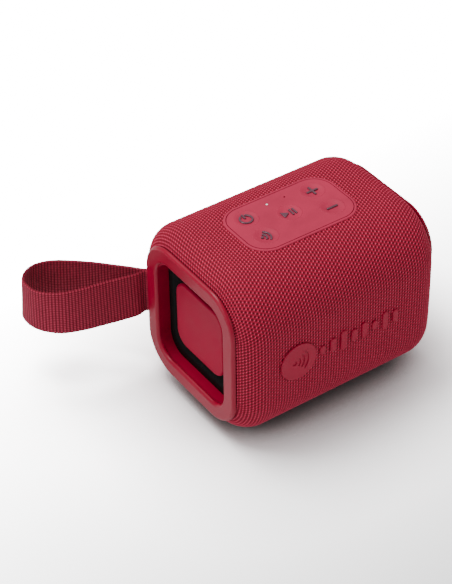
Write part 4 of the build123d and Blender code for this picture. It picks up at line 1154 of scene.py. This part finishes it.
@dataclass
class Stage:
    """Pale floor, soft lights and the camera."""

    focal_ratio: float = 1899.9 / 584
    floor_reach: float = 4.0
    # painted light gradient along Y on the floor, for the camera only
    floor_falloff: tuple = (-0.25, 0.15, -0.25, 2.65)
    # strength of the painted contact shadow on the floor
    contact_shadow_power: float = 2.1
    camera_place: tuple = (-0.429249, -0.577848, 0.634289)
    camera_right: tuple = (0.82168, -0.56981, -0.01282)
    camera_up: tuple = (0.36885, 0.51448, 0.77412)

    def floor_material(self) -> bpy.types.Material:
        """Make a pale floor, brightened for the camera only.

        The camera sees a painted light gradient along Y and a painted contact shadow, a darker patch at the
        contact. Every other ray meets an even floor, which sets the light that comes back up on the
        speaker.

        Returns:
            The floor's material.
        """
        material = bpy.data.materials.new("floor_white")
        material.use_nodes = True
        tree = material.node_tree
        tree.nodes.remove(tree.nodes["Principled BSDF"])
        matt = tree.nodes.new("ShaderNodeBsdfDiffuse")
        place = tree.nodes.new("ShaderNodeTexCoord")
        split = tree.nodes.new("ShaderNodeSeparateXYZ")
        tree.links.new(place.outputs["Object"], split.inputs["Vector"])
        depth = tree.nodes.new("ShaderNodeMapRange")
        for label, value in zip(("From Min", "From Max", "To Min", "To Max"), self.floor_falloff):
            depth.inputs[label].default_value = value
        tree.links.new(split.outputs["Y"], depth.inputs["Value"])
        # painted contact shadow: ambient occlusion darkens the floor round the speaker
        contact = tree.nodes.new("ShaderNodeAmbientOcclusion")
        contact.inputs["Distance"].default_value = 0.07
        contact.samples = 12

        def step(operation: str, first: bpy.types.NodeSocket, second: object) -> bpy.types.NodeSocket:
            """Add one math node to the floor's tree."""
            node = tree.nodes.new("ShaderNodeMath")
            node.operation = operation
            tree.links.new(first, node.inputs[0])
            if isinstance(second, bpy.types.NodeSocket):
                tree.links.new(second, node.inputs[1])
            else:
                node.inputs[1].default_value = second
            return node.outputs["Value"]

        # painted light gradient times painted contact shadow, used for camera rays only
        painted_light_gradient = step("EXPONENT", depth.outputs["Result"], 0.0)
        shade = step("POWER", contact.outputs["AO"], self.contact_shadow_power)
        level = step("MULTIPLY", painted_light_gradient, shade)
        ray = tree.nodes.new("ShaderNodeLightPath")
        gain = tree.nodes.new("ShaderNodeMix")
        gain.data_type = "FLOAT"
        gain.inputs["A"].default_value = 0.8
        tree.links.new(level, gain.inputs["B"])
        tree.links.new(ray.outputs["Is Camera Ray"], gain.inputs["Factor"])
        tree.links.new(gain.outputs["Result"], matt.inputs["Color"])
        tree.links.new(matt.outputs["BSDF"], tree.nodes["Material Output"].inputs["Surface"])
        return material

    def floor(self) -> None:
        """Lay the pale floor."""
        mesh = bpy.data.meshes.new("floor")
        reach = self.floor_reach
        corners = [(-reach, -reach, 0), (reach, -reach, 0), (reach, reach, 0), (-reach, reach, 0)]
        mesh.from_pydata(corners, [], [(0, 1, 2, 3)])
        mesh.materials.append(self.floor_material())
        new_object("floor", mesh)

    def light(self, name: str, place: tuple, size: float, power: float) -> None:
        """Hang a square soft light that faces the speaker."""
        lamp = bpy.data.lights.new(name, "AREA")
        lamp.size = size
        lamp.energy = power
        holder = new_object(name, lamp)
        holder.location = place
        aim = Vector((0, 0, 0.04)) - Vector(place)
        holder.rotation_euler = aim.to_track_quat("-Z", "Y").to_euler()

    def camera(self) -> None:
        """Place the camera."""
        data = bpy.data.cameras.new("camera")
        data.sensor_width = 36.0
        data.sensor_fit = "VERTICAL"
        data.sensor_height = 36.0
        data.lens = 36.0 * self.focal_ratio
        data.clip_start = 0.01
        holder = new_object("camera", data)
        right, up = Vector(self.camera_right).normalized(), Vector(self.camera_up).normalized()
        back = right.cross(up).normalized()
        turn = Matrix((right, up, back)).transposed().to_4x4()
        holder.matrix_world = Matrix.Translation(self.camera_place) @ turn
        bpy.context.scene.camera = holder

    def build(self) -> None:
        """Set up floor, lights, world and camera."""
        self.floor()
        self.light("key_light", (-0.25, 0.35, 1.15), 0.6, 14.0)
        self.light("side_light", (-1.1, -0.1, 0.65), 0.6, 5.0)
        self.light("front_light", (0.8, -1.1, 0.6), 0.8, 5.0)
        world = bpy.data.worlds.new("studio")
        world.use_nodes = True
        world.node_tree.nodes["Background"].inputs["Color"].default_value = (1.0, 1.0, 1.0, 1.0)
        world.node_tree.nodes["Background"].inputs["Strength"].default_value = 0.42
        bpy.context.scene.world = world
        self.camera()


def dress_frame() -> None:
    """Give every kept CAD node its finish."""
    for key, names in DRESS.items():
        material = FINISHES[key].build()
        for name in names:
            node = frame["nodes"][name]
            for slot in node.material_slots:
                slot.material = material
        log.info("%s: %d nodes", key, len(names))


def main() -> None:
    """Build the stage and every part of the speaker."""
    logging.basicConfig(level=logging.INFO, format="%(name)s %(message)s")
    Stage().build()
    dress_frame()
    Strap().build()
    KeyPanel().build()
    Badge().build()
    RadiatorRubber().build()
    KnitSleeve().build()


if __name__ == "__main__":
    main()
